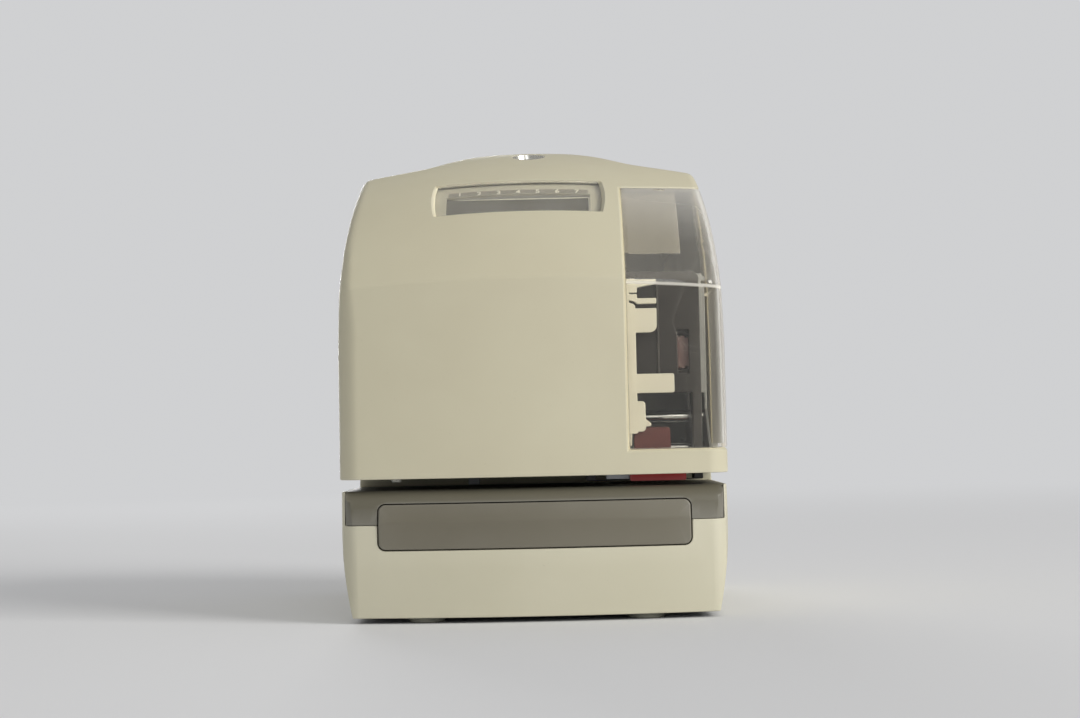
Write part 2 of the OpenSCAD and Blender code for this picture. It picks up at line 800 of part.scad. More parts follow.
module coil() {
  rings = spring_rings;
  points = [for (i = [0:rings]) each coil_ring(i / rings)];
  sides = [for (i = [0:rings - 1], k = [0:5]) let (a = 6 * i + k, b = 6 * i + (k + 1) % 6)
    each [[a, a + 6, b], [b, a + 6, b + 6]]];
  polyhedron(points, concat(sides, [[for (k = [0:5]) k]], [[for (k = [5:-1:0]) 6 * rings + k]]));
}
module bar_springs() color("Silver") for (s = [-1, 1]) translate([s * spring_span / 2, 0, spring_z])
  coil();

// The bracket behind the bar: a wall on the bottom plate with a post in each spring
module bar_bracket() color("Gray") {
  slab([-spring_span / 2 - 11, bracket_y, plate_z], [spring_span / 2 + 11, bracket_y + 1.6,
    spring_z + 10]);
  slab([-spring_span / 2 - 11, bracket_y, plate_z], [spring_span / 2 + 11, bracket_y + 12,
    plate_z + 1.6]);
  for (x = [-spring_span / 2 - 11, -1, spring_span / 2 + 9]) translate([x, 0, 0])
    along_x(0, 2) polygon([[bracket_y + 1, plate_z + 1], [bracket_y + 12, plate_z + 1],
      [bracket_y + 1, spring_z]]);
  for (s = [-1, 1]) bar_y(bracket_y - 10, bracket_y + 1, s * spring_span / 2, spring_z,
    spring_r - spring_wire - 0.4);
}

// The switch that the bar presses, and the plunger that moves with the bar
switch_z = bar_z + bar_h / 2 - 0.75;
plunger_w = 4;
plunger_h = 3;
plunger_l = 6.2;
module bar_switch() color("DarkSlateGray") difference() {
  slab([-8, bracket_y - 8, switch_z - 5], [8, bracket_y, switch_z + 5]);
  slab(
    [-plunger_w / 2 - 0.2, bracket_y - 9, switch_z - plunger_h / 2 - 0.2],
    [plunger_w / 2 + 0.2, pusher_y + plunger_l + bar_travel + 0.3, switch_z + plunger_h / 2 + 0.2]
  );
}

module switch_plunger() color("Red") slab(
  [-plunger_w / 2, pusher_y, switch_z - plunger_h / 2], [plunger_w / 2, pusher_y + plunger_l,
    switch_z + plunger_h / 2]
);

// The power inlet: a barrel socket with a centre pin, on the power board
module power_inlet() color("DimGray") {
  difference() {
    union() {
      slab([-jack_left - 6, back - wall - 12, power_board_z + board_t],
        [-jack_left + 6, back - wall, jack_z + 6]);
      bar_y(back - wall - 1, back - 0.2, -jack_left, jack_z, 5);
    }
    bar_y(back - 0.2 - jack_depth, back + 1, -jack_left, jack_z, jack_r);
  }
  bar_y(back - jack_depth - 1, back - 2.2, -jack_left, jack_z, jack_pin_r);
}

// The power board with two capacitors, a coil and a regulator
module power_board() color("SeaGreen") {
  slab(
    [power_board_low.x, power_board_low.y, power_board_z],
    [power_board_high.x, power_board_high.y, power_board_z + board_t]
  );
  translate([power_board_low.x, power_board_low.y, power_board_z + board_t]) {
    for (x = [8, 20]) bar_z(-0.1, 14, x, 11, 5);
    difference() {
      bar_z(-0.1, 8, 36, 13, 8);
      bar_z(0, 9, 36, 13, 3);
    }
    slab([42, 24, -0.1], [46, 38, 12]);
  }
}

// Chassis

tie_y = back - tie_inset;
plate_top_z = cover_z + plate_top;
roof_z = cover_z + roof_up;
plate_rear = tie_y + 8;
flange_z = deck_z + sheet;

plate_front = front + 15;
vent_r = 9;

// A side plate's outline from the side: a low arm over the slot and a tall rear part
module left_plate_outline() difference() {
  polygon([
    [plate_front, ceiling_low], [plate_front, ceiling_z + 9], [front + 45, ceiling_z + 28],
      [throat_y, plate_top_z - 26],
    [throat_y + 9, plate_top_z], [plate_rear, plate_top_z], [plate_rear, deck_z],
      [throat_y + 2, deck_z],
    [throat_y + 2, ceiling_low]
  ]);
  for (z = [26, 52]) translate([throat_y + 34, ceiling_z + z]) circle(r = vent_r, $fn = 64);
}
module right_plate_outline() difference() {
  polygon([
    [plate_front, ceiling_low], [plate_front, ceiling_z + 9], [head_y + 8.8, ceiling_z + 26],
      [head_y + 8.8, plate_top_z],
    [plate_rear, plate_top_z], [plate_rear, deck_z], [throat_y + 2, deck_z], [throat_y + 2, ceiling_low]
  ]);
  for (y = [throat_y - 24, throat_y + 34], z = [34, 60]) translate([y, ceiling_z + z])
    circle(r = vent_r, $fn = 64);
  for (z = [0, rod_pitch]) translate([rod_y, ceiling_z + rod_up + z])
    circle(r = rod_r + 0.02, $fn = 48);
}
module plate_flange(s) difference() {
  translate([s * (plate_in + sheet / 2 - 7), 0, 0])
    slab([-7 - sheet / 2, throat_y + 2, deck_z], [7 + sheet / 2, plate_rear, flange_z]);
  at_deck_screws() bar_z(deck_z - 1, flange_z + 1, 0, 0, 1.6);
}
module left_side_plate() color("Silver") {
  along_x(-plate_out, -plate_in) left_plate_outline();
  plate_flange(-1);
}
module right_side_plate() color("Silver") {
  along_x(plate_in, plate_out) right_plate_outline();
  plate_flange(1);
}

// The slot's ceiling: a bowed plate with openings for the head, the ribbon mask and the paper lever
lever_y = front + lever_back;
lever_x = -lever_left;
mask_x0 = window_x + 0.4;
mask_x1 = window_x + 24.4;
mask_y = head_y - 10.2;
mask_t = 2;
module slot_ceiling() color("Silver") difference() {
  union() {
    translate([0, 0, ceiling_low]) linear_extrude(sheet) intersection() {
      bowed_plan(plate_in, front + 5.5, back, front_bow_r - 5.5, corner_r);
      translate([-half, front]) square([cover_w, throat_d + 1]);
    }
    slab([-plate_in, throat_y, ceiling_low], [plate_in, throat_y + 1, ceiling_z + 8]);
  }
  slab(
    [prong_left - opening_gap, head_y - 7.5, ceiling_low - 1],
      [cassette_right + opening_gap, head_y + 8, ceiling_z + 1]
  );
  slab([mask_x0 - 0.2, mask_y - 0.2, ceiling_low - 1], [mask_x1 + 0.2, head_y, ceiling_z + 1]);
  slab(
    [lever_x - lever_w / 2 - 1, lever_y - 8, ceiling_low - 1],
    [lever_x + lever_w / 2 + 1, lever_y + 9 + (pin_z - ceiling_low) * sin(lever_turn), ceiling_z + 1]
  );
  bar_z(ceiling_low - 1, ceiling_z + 1, -sensor_left, head_y - 5, 2.2);
}

// The rear tie plate between the side plates, with spacers for the main board
tie_low = flange_z;
module rear_tie_plate() color("Silver") {
  along_y(tie_y, tie_y + sheet) difference() {
    polygon([
      [-plate_in, tie_low], [plate_in, tie_low], [plate_in, plate_top_z], [roof_w / 2, plate_top_z + 4],
      [roof_w / 2, roof_z], [-roof_w / 2, roof_z], [-roof_w / 2, plate_top_z + 4],
        [-plate_in, plate_top_z]
    ]);
    for (x = [-28, 28]) rounded_at([x, ceiling_z + 20], [18, 12], 4);
    for (x = [-14, 14]) rounded_at([x, plate_top_z + 8], [18, 12], 4);
  }
  for (p = board_posts) bar_y(tie_y + sheet / 2, board_y, p.x, p.y, 2.5);
}
module rounded_at(middle, size, r) rounded(middle - size / 2, middle + size / 2, r);

// The roof plate over the mechanism, with folded edges
module roof_plate() color("Silver") {
  slab([-roof_w / 2, roof_front, roof_z], [roof_w / 2, tie_y + sheet, roof_z + sheet]);
  for (s = [-1, 1]) translate([s * (roof_w / 2 - sheet / 2), 0, 0])
    slab([-sheet / 2, roof_front, roof_z - 10], [sheet / 2, tie_y, roof_z + sheet / 2]);
}
roof_front = front + 59;

// The catch on the roof plate that the lock's cam turns under
catch_gap = 0.8;
catch_low = cam_top + catch_gap;
module lock_catch() color("Silver") intersection() {
  at_lock() {
    slab([-9, 10.5, catch_low], [9, 21.5, catch_low + 1.6]);
    slab([-9, 20, catch_low - 25], [9, 21.5, catch_low + 1]);
  }
  slab([-half, front, roof_z + sheet], [half, back, crown_z]);
}

module chassis_screws() color("Silver") at_deck_screws() {
  bar_z(flange_z, flange_z + 1.6, 0, 0, 2.7);
  bar_z(deck_z - 8, flange_z + 1, 0, 0, 1.4);
}

// Print unit

rod_y = head_y + 16;
rod_z = ceiling_z + rod_up;
belt_y = head_y + 33;
belt_z = ceiling_z + 4;
frame_y = head_y + 7.8;
frame_left = cassette_left - 10.5;
cassette_z = ceiling_z + cassette_up;
cassette_front = head_y + 7 - cassette_t;
carriage_y0 = rod_y - rod_r - 4;
carriage_y1 = rod_y + rod_r + 4;
motor_x = frame_left + 8;
idler_x = head_x + carriage_travel + 8.6;
wheel_x = window_x + 23.2;
wheel_z = cassette_z + 17.5;
ribbon_t = 0.12;
ribbon_z = cover_z - 2.7;

// The print frame: a plate behind the cassette with a folded leg that carries the rods' left ends
module print_frame() color("Silver") difference() {
  union() {
    slab([frame_left, frame_y, cassette_z], [plate_in, frame_y + sheet, cassette_z + cassette_h]);
    slab([frame_left, frame_y, ceiling_z], [frame_left + sheet, frame_y + 14.5,
      cassette_z + cassette_h]);
    slab([frame_left, frame_y, ceiling_z], [frame_left + 10, frame_y + sheet, cassette_z + 1]);
    slab([plate_in - sheet, frame_y, cassette_z],
      [plate_in, frame_y + 12, cassette_z + cassette_h - 3]);
  }
  for (z = [0, rod_pitch]) bar_x(frame_left - 1, frame_left + 5, rod_y, rod_z + z, rod_r + 0.02);
  bar_y(frame_y - 1, frame_y + 5, wheel_x, wheel_z, spindle_r + 0.6);
  for (z = [8, cassette_h - 8]) bar_y(frame_y - 1, frame_y + 5, cassette_left + 12, cassette_z + z, 4);
}

module guide_rods() color("Silver") for (z = [0, rod_pitch])
  bar_x(frame_left - 1.5, plate_out - 0.1, rod_y, rod_z + z, rod_r);

// The carriage: a block on the rods with a clamp that holds the belt
module print_carriage() color("DarkSlateGray") difference() {
  union() {
    slab([head_x - carriage_w / 2, carriage_y0, ceiling_z + 1.6], [head_x + carriage_w / 2, carriage_y1,
      rod_z + rod_pitch + rod_r + 4]);
    slab([head_x - 2.5, carriage_y1 - 1, belt_z - 2], [head_x + 2.5, belt_y - pulley_r + 1.6,
      belt_z + pulley_h + 2]);
  }
  for (z = [0, rod_pitch]) bar_x(head_x - carriage_w, head_x + carriage_w, rod_y, rod_z + z,
    rod_r + run);
  slab(
    [head_x - 4, belt_y - pulley_r - belt_t - run - 0.3, belt_z - 0.4],
    [head_x + 4, belt_y - pulley_r - run + 0.3, belt_z + pulley_h + 0.4]
  );
}

// The print head: a finned body on the carriage and a metal nose over the ribbon
module print_head() color("Silver") difference() {
  union() {
    slab([head_x - carriage_w / 2, head_y - 5, ceiling_z + 9], [head_x + carriage_w / 2, carriage_y0,
      ceiling_z + 27]);
    slab([head_x - nose_w / 2, head_y - 4, ribbon_z + ribbon_t + 0.3],
      [head_x + nose_w / 2, head_y + 4, ceiling_z + 9.5]);
  }
  for (i = [0:4]) slab([head_x - carriage_w, head_y - 3.6 + i * 2.6, ceiling_z + 19],
    [head_x + carriage_w, head_y - 2.2 + i * 2.6, ceiling_z + 28]);
}

// The head's flat flex cable: along the carriage's top, round a loop and back to the frame
cable_t = 0.3;
cable_z = rod_z + rod_pitch + rod_r + 4;
cable_loop_r = 4;
cable_x = frame_left + 7.6;
cable_y0 = rod_y - 4;
cable_y1 = rod_y + 4;
module head_cable() color("White") {
  slab([cable_x, cable_y0, cable_z], [head_x + 3, cable_y1, cable_z + cable_t]);
  slab([cable_x, cable_y0, cable_z + 2 * cable_loop_r - cable_t],
    [head_x + 12, cable_y1, cable_z + 2 * cable_loop_r]);
  along_y(cable_y0, cable_y1) translate([cable_x, cable_z + cable_loop_r]) intersection() {
    difference() {
      circle(r = cable_loop_r, $fn = 64);
      circle(r = cable_loop_r - cable_t, $fn = 64);
    }
    translate([-cable_loop_r - 1, -cable_loop_r - 1]) square([cable_loop_r + 1, 2 * cable_loop_r + 2]);
  }
}

// The carriage motor on its bracket, and its pulley below
motor_low = belt_z + pulley_h + 1.6 + sheet;
module motor_bracket() color("Silver") difference() {
  union() {
    slab([motor_x - 14, belt_y - 10.5, motor_low - sheet], [motor_x + 12.4, belt_y + 13.2, motor_low]);
    slab([motor_x - 14, belt_y - 10.5, ceiling_z], [motor_x - 14 + sheet, belt_y + 13.2, motor_low]);
    slab([motor_x - 14, belt_y + 12, ceiling_z], [motor_x + 12.4, belt_y + 13.2, motor_low]);
  }
  bar_z(motor_low - 5, motor_low + 5, motor_x, belt_y, 4);
}

module carriage_motor() color("DimGray") difference() {
  union() {
    bar_z(motor_low, motor_low + motor_h, motor_x, belt_y, motor_r);
    bar_z(motor_low + motor_h - 1, motor_low + motor_h + 1.5, motor_x, belt_y, 4);
  }
  bar_z(motor_low - 1, motor_low + 12, motor_x, belt_y, 2 + run);
}

module motor_pulley() color("Gainsboro") {
  bar_z(belt_z, belt_z + pulley_h, motor_x, belt_y, pulley_r);
  bar_z(belt_z - 0.8, belt_z, motor_x, belt_y, pulley_r + 0.6);
  bar_z(belt_z - 1, motor_low + 11, motor_x, belt_y, 2);
}

module idler_post() color("Silver") {
  slab([idler_x - 6, belt_y - 8, ceiling_z], [min(idler_x + 6, plate_in), belt_y + 8,
    ceiling_z + sheet]);
  bar_z(ceiling_z + sheet / 2, belt_z - 1.2, idler_x, belt_y, 3.4);
  bar_z(ceiling_z + sheet / 2, belt_z + pulley_h + 2, idler_x, belt_y, 2);
}

module idler_pulley() color("Gainsboro") difference() {
  union() {
    bar_z(belt_z, belt_z + pulley_h, idler_x, belt_y, pulley_r);
    bar_z(belt_z - 0.8, belt_z, idler_x, belt_y, min(pulley_r + 0.6, plate_in - idler_x - 0.4));
  }
  bar_z(belt_z - 2, belt_z + pulley_h + 2, idler_x, belt_y, 2 + run);
}

// The belt round both pulleys
module belt_loop(r) {
  translate([motor_x, belt_y]) circle(r = r, $fn = 96);
  translate([idler_x, belt_y]) circle(r = r, $fn = 96);
  translate([motor_x, belt_y - r]) square([idler_x - motor_x, 2 * r]);
}
module drive_belt() color("DimGray") translate([0, 0, belt_z + 0.5]) linear_extrude(pulley_h - 1)
  difference() {
  belt_loop(pulley_r + run + belt_t);
  belt_loop(pulley_r + run);
}

// Ribbon

// The white bracket in front of the cassette: a plate with comb fingers, a block, an arm and a hook
bracket_front = head_y - 14.5;
bracket_left = window_x - 18.6;
bracket_z = ceiling_z + bracket_step;
function at_bracket(x, z) = [window_x + x, bracket_z + z];
module bracket_outline() {
  translate([bracket_left, ceiling_z]) square([window_x + 0.9 - bracket_left,
    bracket_z - ceiling_z + 6]);
  translate([bracket_left, bracket_z]) square([window_x + 1.4 - bracket_left, 70.7]);
  translate([window_x, bracket_z + 5.1]) square([4, 66]);
  polygon([at_bracket(1, 70.7), at_bracket(13, 70.7), at_bracket(13, 68.6), at_bracket(5.4, 67.3),
    at_bracket(1, 66.3)]);
  translate([window_x, bracket_z + 65]) square([4.9, 4]);
  translate([window_x, bracket_z + 60.2]) square([13, 2.4]);
  translate([window_x, bracket_z + 60.2]) square([4.9, 6]);
  rounded(at_bracket(-4, 48), at_bracket(13, 58.3), 3);
  translate([window_x, bracket_z + 52]) square([13, 6.3]);
  rounded(at_bracket(-4, 22.2), at_bracket(19.9, 30.4), 1);
  rounded(at_bracket(3, 5.9), at_bracket(7.4, 18.8), 1.6);
  polygon([at_bracket(5, 8.1), at_bracket(9.6, 8.1), at_bracket(9.6, 9.4), at_bracket(7, 11.6),
    at_bracket(5, 11.6)]);
}
module ribbon_bracket() color("WhiteSmoke") {
  along_y(bracket_front, bracket_front + bracket_t) difference() {
    bracket_outline();
    translate(at_bracket(1.4, 64.4)) square([3.6, 0.6]);
    polygon([
      at_bracket(1.4, 60.7), at_bracket(1.4, 61.8), at_bracket(3.4, 61.4), at_bracket(5.4, 59.9),
        at_bracket(14, 60.1),
      at_bracket(14, 58.7), at_bracket(5, 58.7), at_bracket(3, 60.3)
    ]);
  }
  slab([bracket_left, bracket_front, ceiling_z], [window_x + 0.4, bracket_front + bracket_t + 3.6,
    ceiling_z + 1.6]);
  for (x = [bracket_left, bracket_left + 9]) translate([x, 0, 0]) along_x(0, 1.6) polygon([
    [bracket_front + bracket_t - 0.5, ceiling_z + 1], [bracket_front + bracket_t + 3.6, ceiling_z + 1],
    [bracket_front + bracket_t - 0.5, ceiling_z + 24]
  ]);
}

// The cassette: a flat case with two prongs, a raised rib and a slot that shows its wheel
module ribbon_cassette() color("SaddleBrown") difference() {
  union() {
    along_y(cassette_front, cassette_front + cassette_t) {
      rounded([cassette_left, cassette_z], [cassette_right, cassette_z + cassette_h], 4);
      for (x = [prong_left, cassette_right - prong_w])
        translate([x, ribbon_z + ribbon_t]) square([prong_w, cassette_z - ribbon_z + 5]);
    }
    slab([window_x + 13.3, cassette_front - 0.8, cassette_z + 3], [window_x + 14.1, cassette_front + 1,
      cassette_z + cassette_h - 3]);
  }
  bar_y(cassette_front + 1.6, cassette_front + cassette_t - 1.6, wheel_x, wheel_z, wheel_r + 0.6);
  bar_y(cassette_front + 1.6, cassette_front + cassette_t + 1, wheel_x, wheel_z, spindle_r + 0.6);
  slab([window_x + 22.1, cassette_front - 1, wheel_z - 9.4], [window_x + 26.9, cassette_front + 2,
    wheel_z + 9.4]);
}

// The wheel that draws the ribbon through the cassette, with its spindle
module ribbon_wheel() color("RosyBrown") difference() {
  union() {
    bar_y(cassette_front + 2.2, cassette_front + cassette_t - 2.2, wheel_x, wheel_z, wheel_r);
    bar_y(cassette_front + 3, frame_y + 9, wheel_x, wheel_z, spindle_r);
  }
  for (i = [0:15]) translate([wheel_x, cassette_front, wheel_z]) rotate([0, i * 22.5, 0])
    translate([-0.5, 1.8, wheel_r - 0.7]) cube([1, cassette_t, 2]);
}

module ribbon_motor() color("DimGray") difference() {
  union() {
    slab([wheel_x - 9, frame_y + sheet, wheel_z - 9], [wheel_x + 9, frame_y + 10, wheel_z + 9]);
    bar_y(frame_y + 9, frame_y + 27, wheel_x, wheel_z, 8.5);
    bar_y(frame_y + 26, frame_y + 29, wheel_x, wheel_z, 3);
  }
  bar_y(frame_y, frame_y + 9.6, wheel_x, wheel_z, spindle_r + run);
}

module ink_ribbon() color("Indigo") slab(
  [prong_left + 0.4, head_y - ribbon_w / 2, ribbon_z], [cassette_right - 0.4, head_y + ribbon_w / 2,
    ribbon_z + ribbon_t]
);

// The red mask before the ribbon: a plate through the ceiling with a flange and a tall middle
module ribbon_mask() color("Firebrick") {
  along_y(mask_y, mask_y + mask_t) {
    rounded([mask_x0, ribbon_z - 0.3], [mask_x1, ceiling_z + 4], 0.8);
    rounded([mask_x0 + 2, ceiling_z], [mask_x0 + 17.5, ceiling_z + 18.2], 1.5);
  }
  slab([mask_x0 + 1.2, mask_y - 4, ceiling_z], [mask_x1 + 4, mask_y + 0.5, ceiling_z + 1.5]);
}

// Paper lever

ear_h = 26;
pin_z = ceiling_z + 5.6;
module lever_ears() color("Silver") difference() {
  union() {
    for (s = [-1, 1]) translate([lever_x + s * (lever_w / 2 + 3.4), 0, 0]) {
      slab([-sheet / 2, lever_y - 6, ceiling_z], [sheet / 2, lever_y + 6, ceiling_z + ear_h]);
      slab([s > 0 ? -sheet / 2 : -7, lever_y - 6, ceiling_z], [s > 0 ? 7 : sheet / 2, lever_y + 6,
        ceiling_z + sheet]);
    }
    slab(
      [lever_x - lever_w / 2 - 3.4, lever_y - 6, ceiling_z + ear_h - sheet],
      [lever_x + lever_w / 2 + 3.4, lever_y + 6, ceiling_z + ear_h]
    );
  }
  bar_x(lever_x - 20, lever_x + 20, lever_y, pin_z, pin_r + 0.02);
}

module lever_pin() color("Silver") bar_x(
  lever_x - lever_w / 2 - 4.6, lever_x + lever_w / 2 + 4.6, lever_y, pin_z, pin_r
);

// The lever: a hub on the pin, a foot in the slot and a flag in the light gate
module paper_lever() color("Gray") difference() {
  union() {
    bar_x(lever_x - lever_w / 2, lever_x + lever_w / 2, lever_y, pin_z, 3.6);
    along_x(lever_x - lever_w / 2, lever_x + lever_w / 2) polygon([
      [lever_y - 3.4, pin_z], [lever_y + 1, pin_z - 2], [lever_y - 0.6, table_z + 1.2],
        [lever_y - 3.6, table_z + 1.2]
    ]);
    slab([lever_x - 1, lever_y - 2, pin_z], [lever_x + 1, lever_y + 2, ceiling_z + 19]);
  }
  bar_x(lever_x - 20, lever_x + 20, lever_y, pin_z, pin_r + run);
}

module lever_sensor() color("DimGray") difference() {
  slab([lever_x - 3.5, lever_y - 6, ceiling_z + 12],
    [lever_x + 3.5, lever_y + 6, ceiling_z + ear_h - sheet]);
  slab([lever_x - 1.6, lever_y - 7, ceiling_z + 11], [lever_x + 1.6, lever_y + 7, ceiling_z + 20.5]);
}

// The paper sensor: a white lens through the ceiling, under a small board on two posts
module paper_sensor() color("WhiteSmoke") translate([-sensor_left, head_y - 5, 0]) {
  bar_z(ceiling_low - 1.8, ceiling_z + 3, 0, 0, 2);
  bar_z(ceiling_z, ceiling_z + 4, 0, 0, 3.4);
  slab([-7, -7, ceiling_z + 4], [17, 9, ceiling_z + 4 + board_t]);
  bar_z(ceiling_z, ceiling_z + 4.5, 12, 3, 2.4);
}

// Display

display_x0 = display_x - pocket_w / 2 - 15.5;
display_x1 = window_x + housing_reach;
housing_z = cover_z + housing_low;
housing_rear = roof_front;
cheek_t = 2;
button_angle = 53;
button_x = [for (i = [0:2]) display_x - 34.25 + i * button_pitch];
function crown_at(x) = crown_r - crown_side_r + sqrt(pow(crown_side_r, 2) - pow(x, 2));
module at_button(i) translate([button_x[i], axis_y, axis_z]) rotate([button_angle, 0, 0])
  translate([0, 0, crown_at(button_x[i])]) children();

// Where the flat display board lies under the crown
glass_t = 3.5;
glass_low = -10.5;
display_posts = [for (x = [-40, 40], y = [-12, 10]) [x, y]];
module display_housing() color("LightGray") {
  difference() {
    intersection() {
      difference() {
        cover_form(housing_depth);
        cover_form(housing_depth + housing_t);
      }
      slab([display_x0, front, housing_z], [display_x1, housing_rear, crown_z]);
    }
    at_display() translate([0, -glass_drop, 0]) cube([glass_w + 7, glass_h + 6, 30], center = true);
    for (i = [0:2]) at_button(i) cylinder(h = 30, r = button_r + 0.3, center = true, $fn = 48);
  }
  intersection() {
    cover_form(housing_depth + housing_t / 2);
    union() {
      slab([display_x0, housing_rear - 2, roof_z - 10], [display_x1, housing_rear, crown_z]);
      for (x = [display_x0, display_x1 - cheek_t])
        slab([x, front, housing_z + 8], [x + cheek_t, housing_rear, crown_z]);
      at_display() for (p = display_posts) bar_z(glass_low, 0, p.x, p.y, 2.2);
    }
  }
}

// The grey mask under the lens, with the clear opening over the glass
module display_mask() color("Silver") difference() {
  intersection() {
    difference() {
      cover_form(housing_depth - 1);
      cover_form(housing_depth - glue_gap);
    }
    at_display() linear_extrude(30, center = true) pocket_outline(-1.5);
  }
  at_display() translate([0, -glass_drop, 0]) cube([glass_w, glass_h, 30], center = true);
}

// The display: its glass on a flat board
module display_panel() at_display() {
  color("DarkSlateGray") translate([-glass_w / 2 - 2, -glass_drop - glass_h / 2 - 2, glass_low])
    cube([glass_w + 4, glass_h + 4, glass_t]);
  color("SeaGreen") translate([-44, -15, glass_low - board_t]) cube([88, 28, board_t]);
}

// The button board: a flat board with three switches
button_board_r = crown_r - 14.8;
module button_board() color("SeaGreen") translate([0, axis_y, axis_z]) rotate([button_angle, 0, 0]) {
  translate([button_x[0] - 10, -6, button_board_r - board_t])
    cube([button_x[2] - button_x[0] + 20, 12, board_t]);
  for (x = button_x) translate([x, 0, 0]) difference() {
    translate([-3, -3, button_board_r - 0.2])
      cube([6, 6, crown_at(x) - 9.2 - button_travel - button_board_r]);
    translate([0, 0, button_board_r + 0.8]) cylinder(h = 20, r = 1.8, $fn = 32);
  }
}

// A setting button: a cap with a flange under the housing and a stem in its switch
module setting_button(i) at_button(i) {
  bar_z(-9.2, -3.2, 0, 0, button_r);
  bar_z(-8.2, -7.2, 0, 0, button_r + 0.9);
  bar_z(-11.2, -9, 0, 0, 1.6);
}
module setting_button_1() color("DimGray") setting_button(0);
module setting_button_2() color("DimGray") setting_button(1);
module setting_button_3() color("DimGray") setting_button(2);

// Electronics

board_y = tie_y + sheet + 6;
board_z = ceiling_z + 14;
board_posts = [for (x = [-1, 1], z = [6, board_h - 6]) [x * (board_w / 2 - 6), board_z + z]];
module main_board() color("SeaGreen") slab(
  [-board_w / 2, board_y, board_z], [board_w / 2, board_y + board_t, board_z + board_h]
);

// Chips, connectors and capacitors on the main board
module board_parts() color("DimGray") translate([0, board_y + board_t, board_z]) {
  slab([-40, 0, 38], [-16, 2, 62]);
  for (x = [0, 22]) slab([x, 0, 50], [x + 15, 2.2, 58]);
  for (i = [0:3]) slab([-44 + i * 20, 0, 74], [-30 + i * 20, 7, 79]);
  for (i = [0:2]) bar_y(0, 12, -46 + i * 13, 24, 4);
  slab([44, 0, 40], [54, 9, 70]);
}

// The backup battery: a round cell in a clip on the main board
module backup_battery() color("SteelBlue") translate([0, board_y + board_t, board_z]) {
  bar_x(6, 42, 8.5, 18, 7.5);
  slab([4, 0, 9], [6.2, 14, 27]);
  slab([41.8, 0, 9], [44, 14, 27]);
}

cover_shell();
side_window();
window_screws();
display_lens();
lock_body();
lock_nut();
lock_plug();
lock_cam();
base_shell();
bottom_plate();
bottom_screws();
rubber_feet();
paper_table();
platen_pad();
push_bar();
bar_springs();
bar_bracket();
bar_switch();
switch_plunger();
power_inlet();
power_board();
left_side_plate();
right_side_plate();
slot_ceiling();
rear_tie_plate();
roof_plate();
lock_catch();
chassis_screws();
print_frame();
guide_rods();
print_carriage();
print_head();
head_cable();
motor_bracket();
carriage_motor();
motor_pulley();
idler_post();
idler_pulley();
drive_belt();
ribbon_bracket();
ribbon_cassette();
ribbon_wheel();
ribbon_motor();
ink_ribbon();
ribbon_mask();
lever_ears();
lever_pin();
paper_lever();
lever_sensor();
paper_sensor();
display_housing();
display_mask();
display_panel();
button_board();
setting_button_1();
setting_button_2();
setting_button_3();
main_board();
board_parts();
backup_battery();
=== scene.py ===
"""Looks of a desktop time stamp machine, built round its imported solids."""
import math

import bmesh
import bpy
import numpy as np
from mathutils import Matrix, Vector


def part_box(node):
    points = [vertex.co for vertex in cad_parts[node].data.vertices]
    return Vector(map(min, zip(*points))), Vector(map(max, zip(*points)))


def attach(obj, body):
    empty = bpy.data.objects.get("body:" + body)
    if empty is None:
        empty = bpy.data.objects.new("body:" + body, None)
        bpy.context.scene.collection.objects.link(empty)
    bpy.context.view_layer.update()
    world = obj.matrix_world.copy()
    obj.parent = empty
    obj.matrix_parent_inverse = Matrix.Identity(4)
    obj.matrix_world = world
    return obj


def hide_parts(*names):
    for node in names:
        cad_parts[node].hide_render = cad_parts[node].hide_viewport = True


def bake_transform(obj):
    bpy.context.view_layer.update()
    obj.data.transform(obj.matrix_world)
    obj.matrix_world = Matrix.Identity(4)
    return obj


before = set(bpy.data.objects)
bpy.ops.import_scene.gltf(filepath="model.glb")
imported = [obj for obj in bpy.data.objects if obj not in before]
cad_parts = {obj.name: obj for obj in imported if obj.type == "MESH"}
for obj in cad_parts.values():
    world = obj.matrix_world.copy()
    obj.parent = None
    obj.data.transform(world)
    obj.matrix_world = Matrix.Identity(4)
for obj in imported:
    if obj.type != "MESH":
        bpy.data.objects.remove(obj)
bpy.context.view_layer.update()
mm = 0.001

# Camera
# The eye stands nine tenths of a metre before the machine, a little over a third of the way up it,
# and looks slightly upwards with a small tilt of the frame.
eye = Vector((8.4, -893.7, 77.4)) * mm
eye_pitch = math.radians(2.35)
eye_yaw = math.radians(0.33)
eye_roll = math.radians(-1.24)
camera_data = bpy.data.cameras.new("camera")
camera_data.sensor_width = 36
camera_data.lens = 63.5
camera = bpy.data.objects.new("camera", camera_data)
bpy.context.scene.collection.objects.link(camera)
camera.matrix_world = (
    Matrix.Translation(eye)
    @ Matrix.Rotation(eye_yaw, 4, "Z")
    @ Matrix.Rotation(math.pi / 2 + eye_pitch, 4, "X")
    @ Matrix.Rotation(eye_roll, 4, "Z")
)
bpy.context.scene.camera = camera
bpy.context.scene.view_settings.view_transform = "Standard"

# Studio
# A pale matt floor that fades into a pale surround. A soft lamp stands high on the right, a small
# weak one in front and one low behind, with an even light from all round.
floor_radius = 5.0
floor_rough = 0.95
floor_gloss = 0.1
fade_start = 0.55
fade_end = 2.0
surround_colour = (0.63, 0.635, 0.645, 1)
floor_colour = (0.76, 0.765, 0.78, 1)
even_light = 0.395
middle = Vector((0, 0, 0.11))


def fill(made, sockets):
    """Values for a node's sockets, or links to them from sockets or from nodes' first outputs."""
    for name, source in sockets.items():
        if isinstance(source, bpy.types.Node):
            source = source.outputs[0]
        if isinstance(source, bpy.types.NodeSocket):
            made.id_data.links.new(source, made.inputs[name])
        else:
            made.inputs[name].default_value = source
    return made


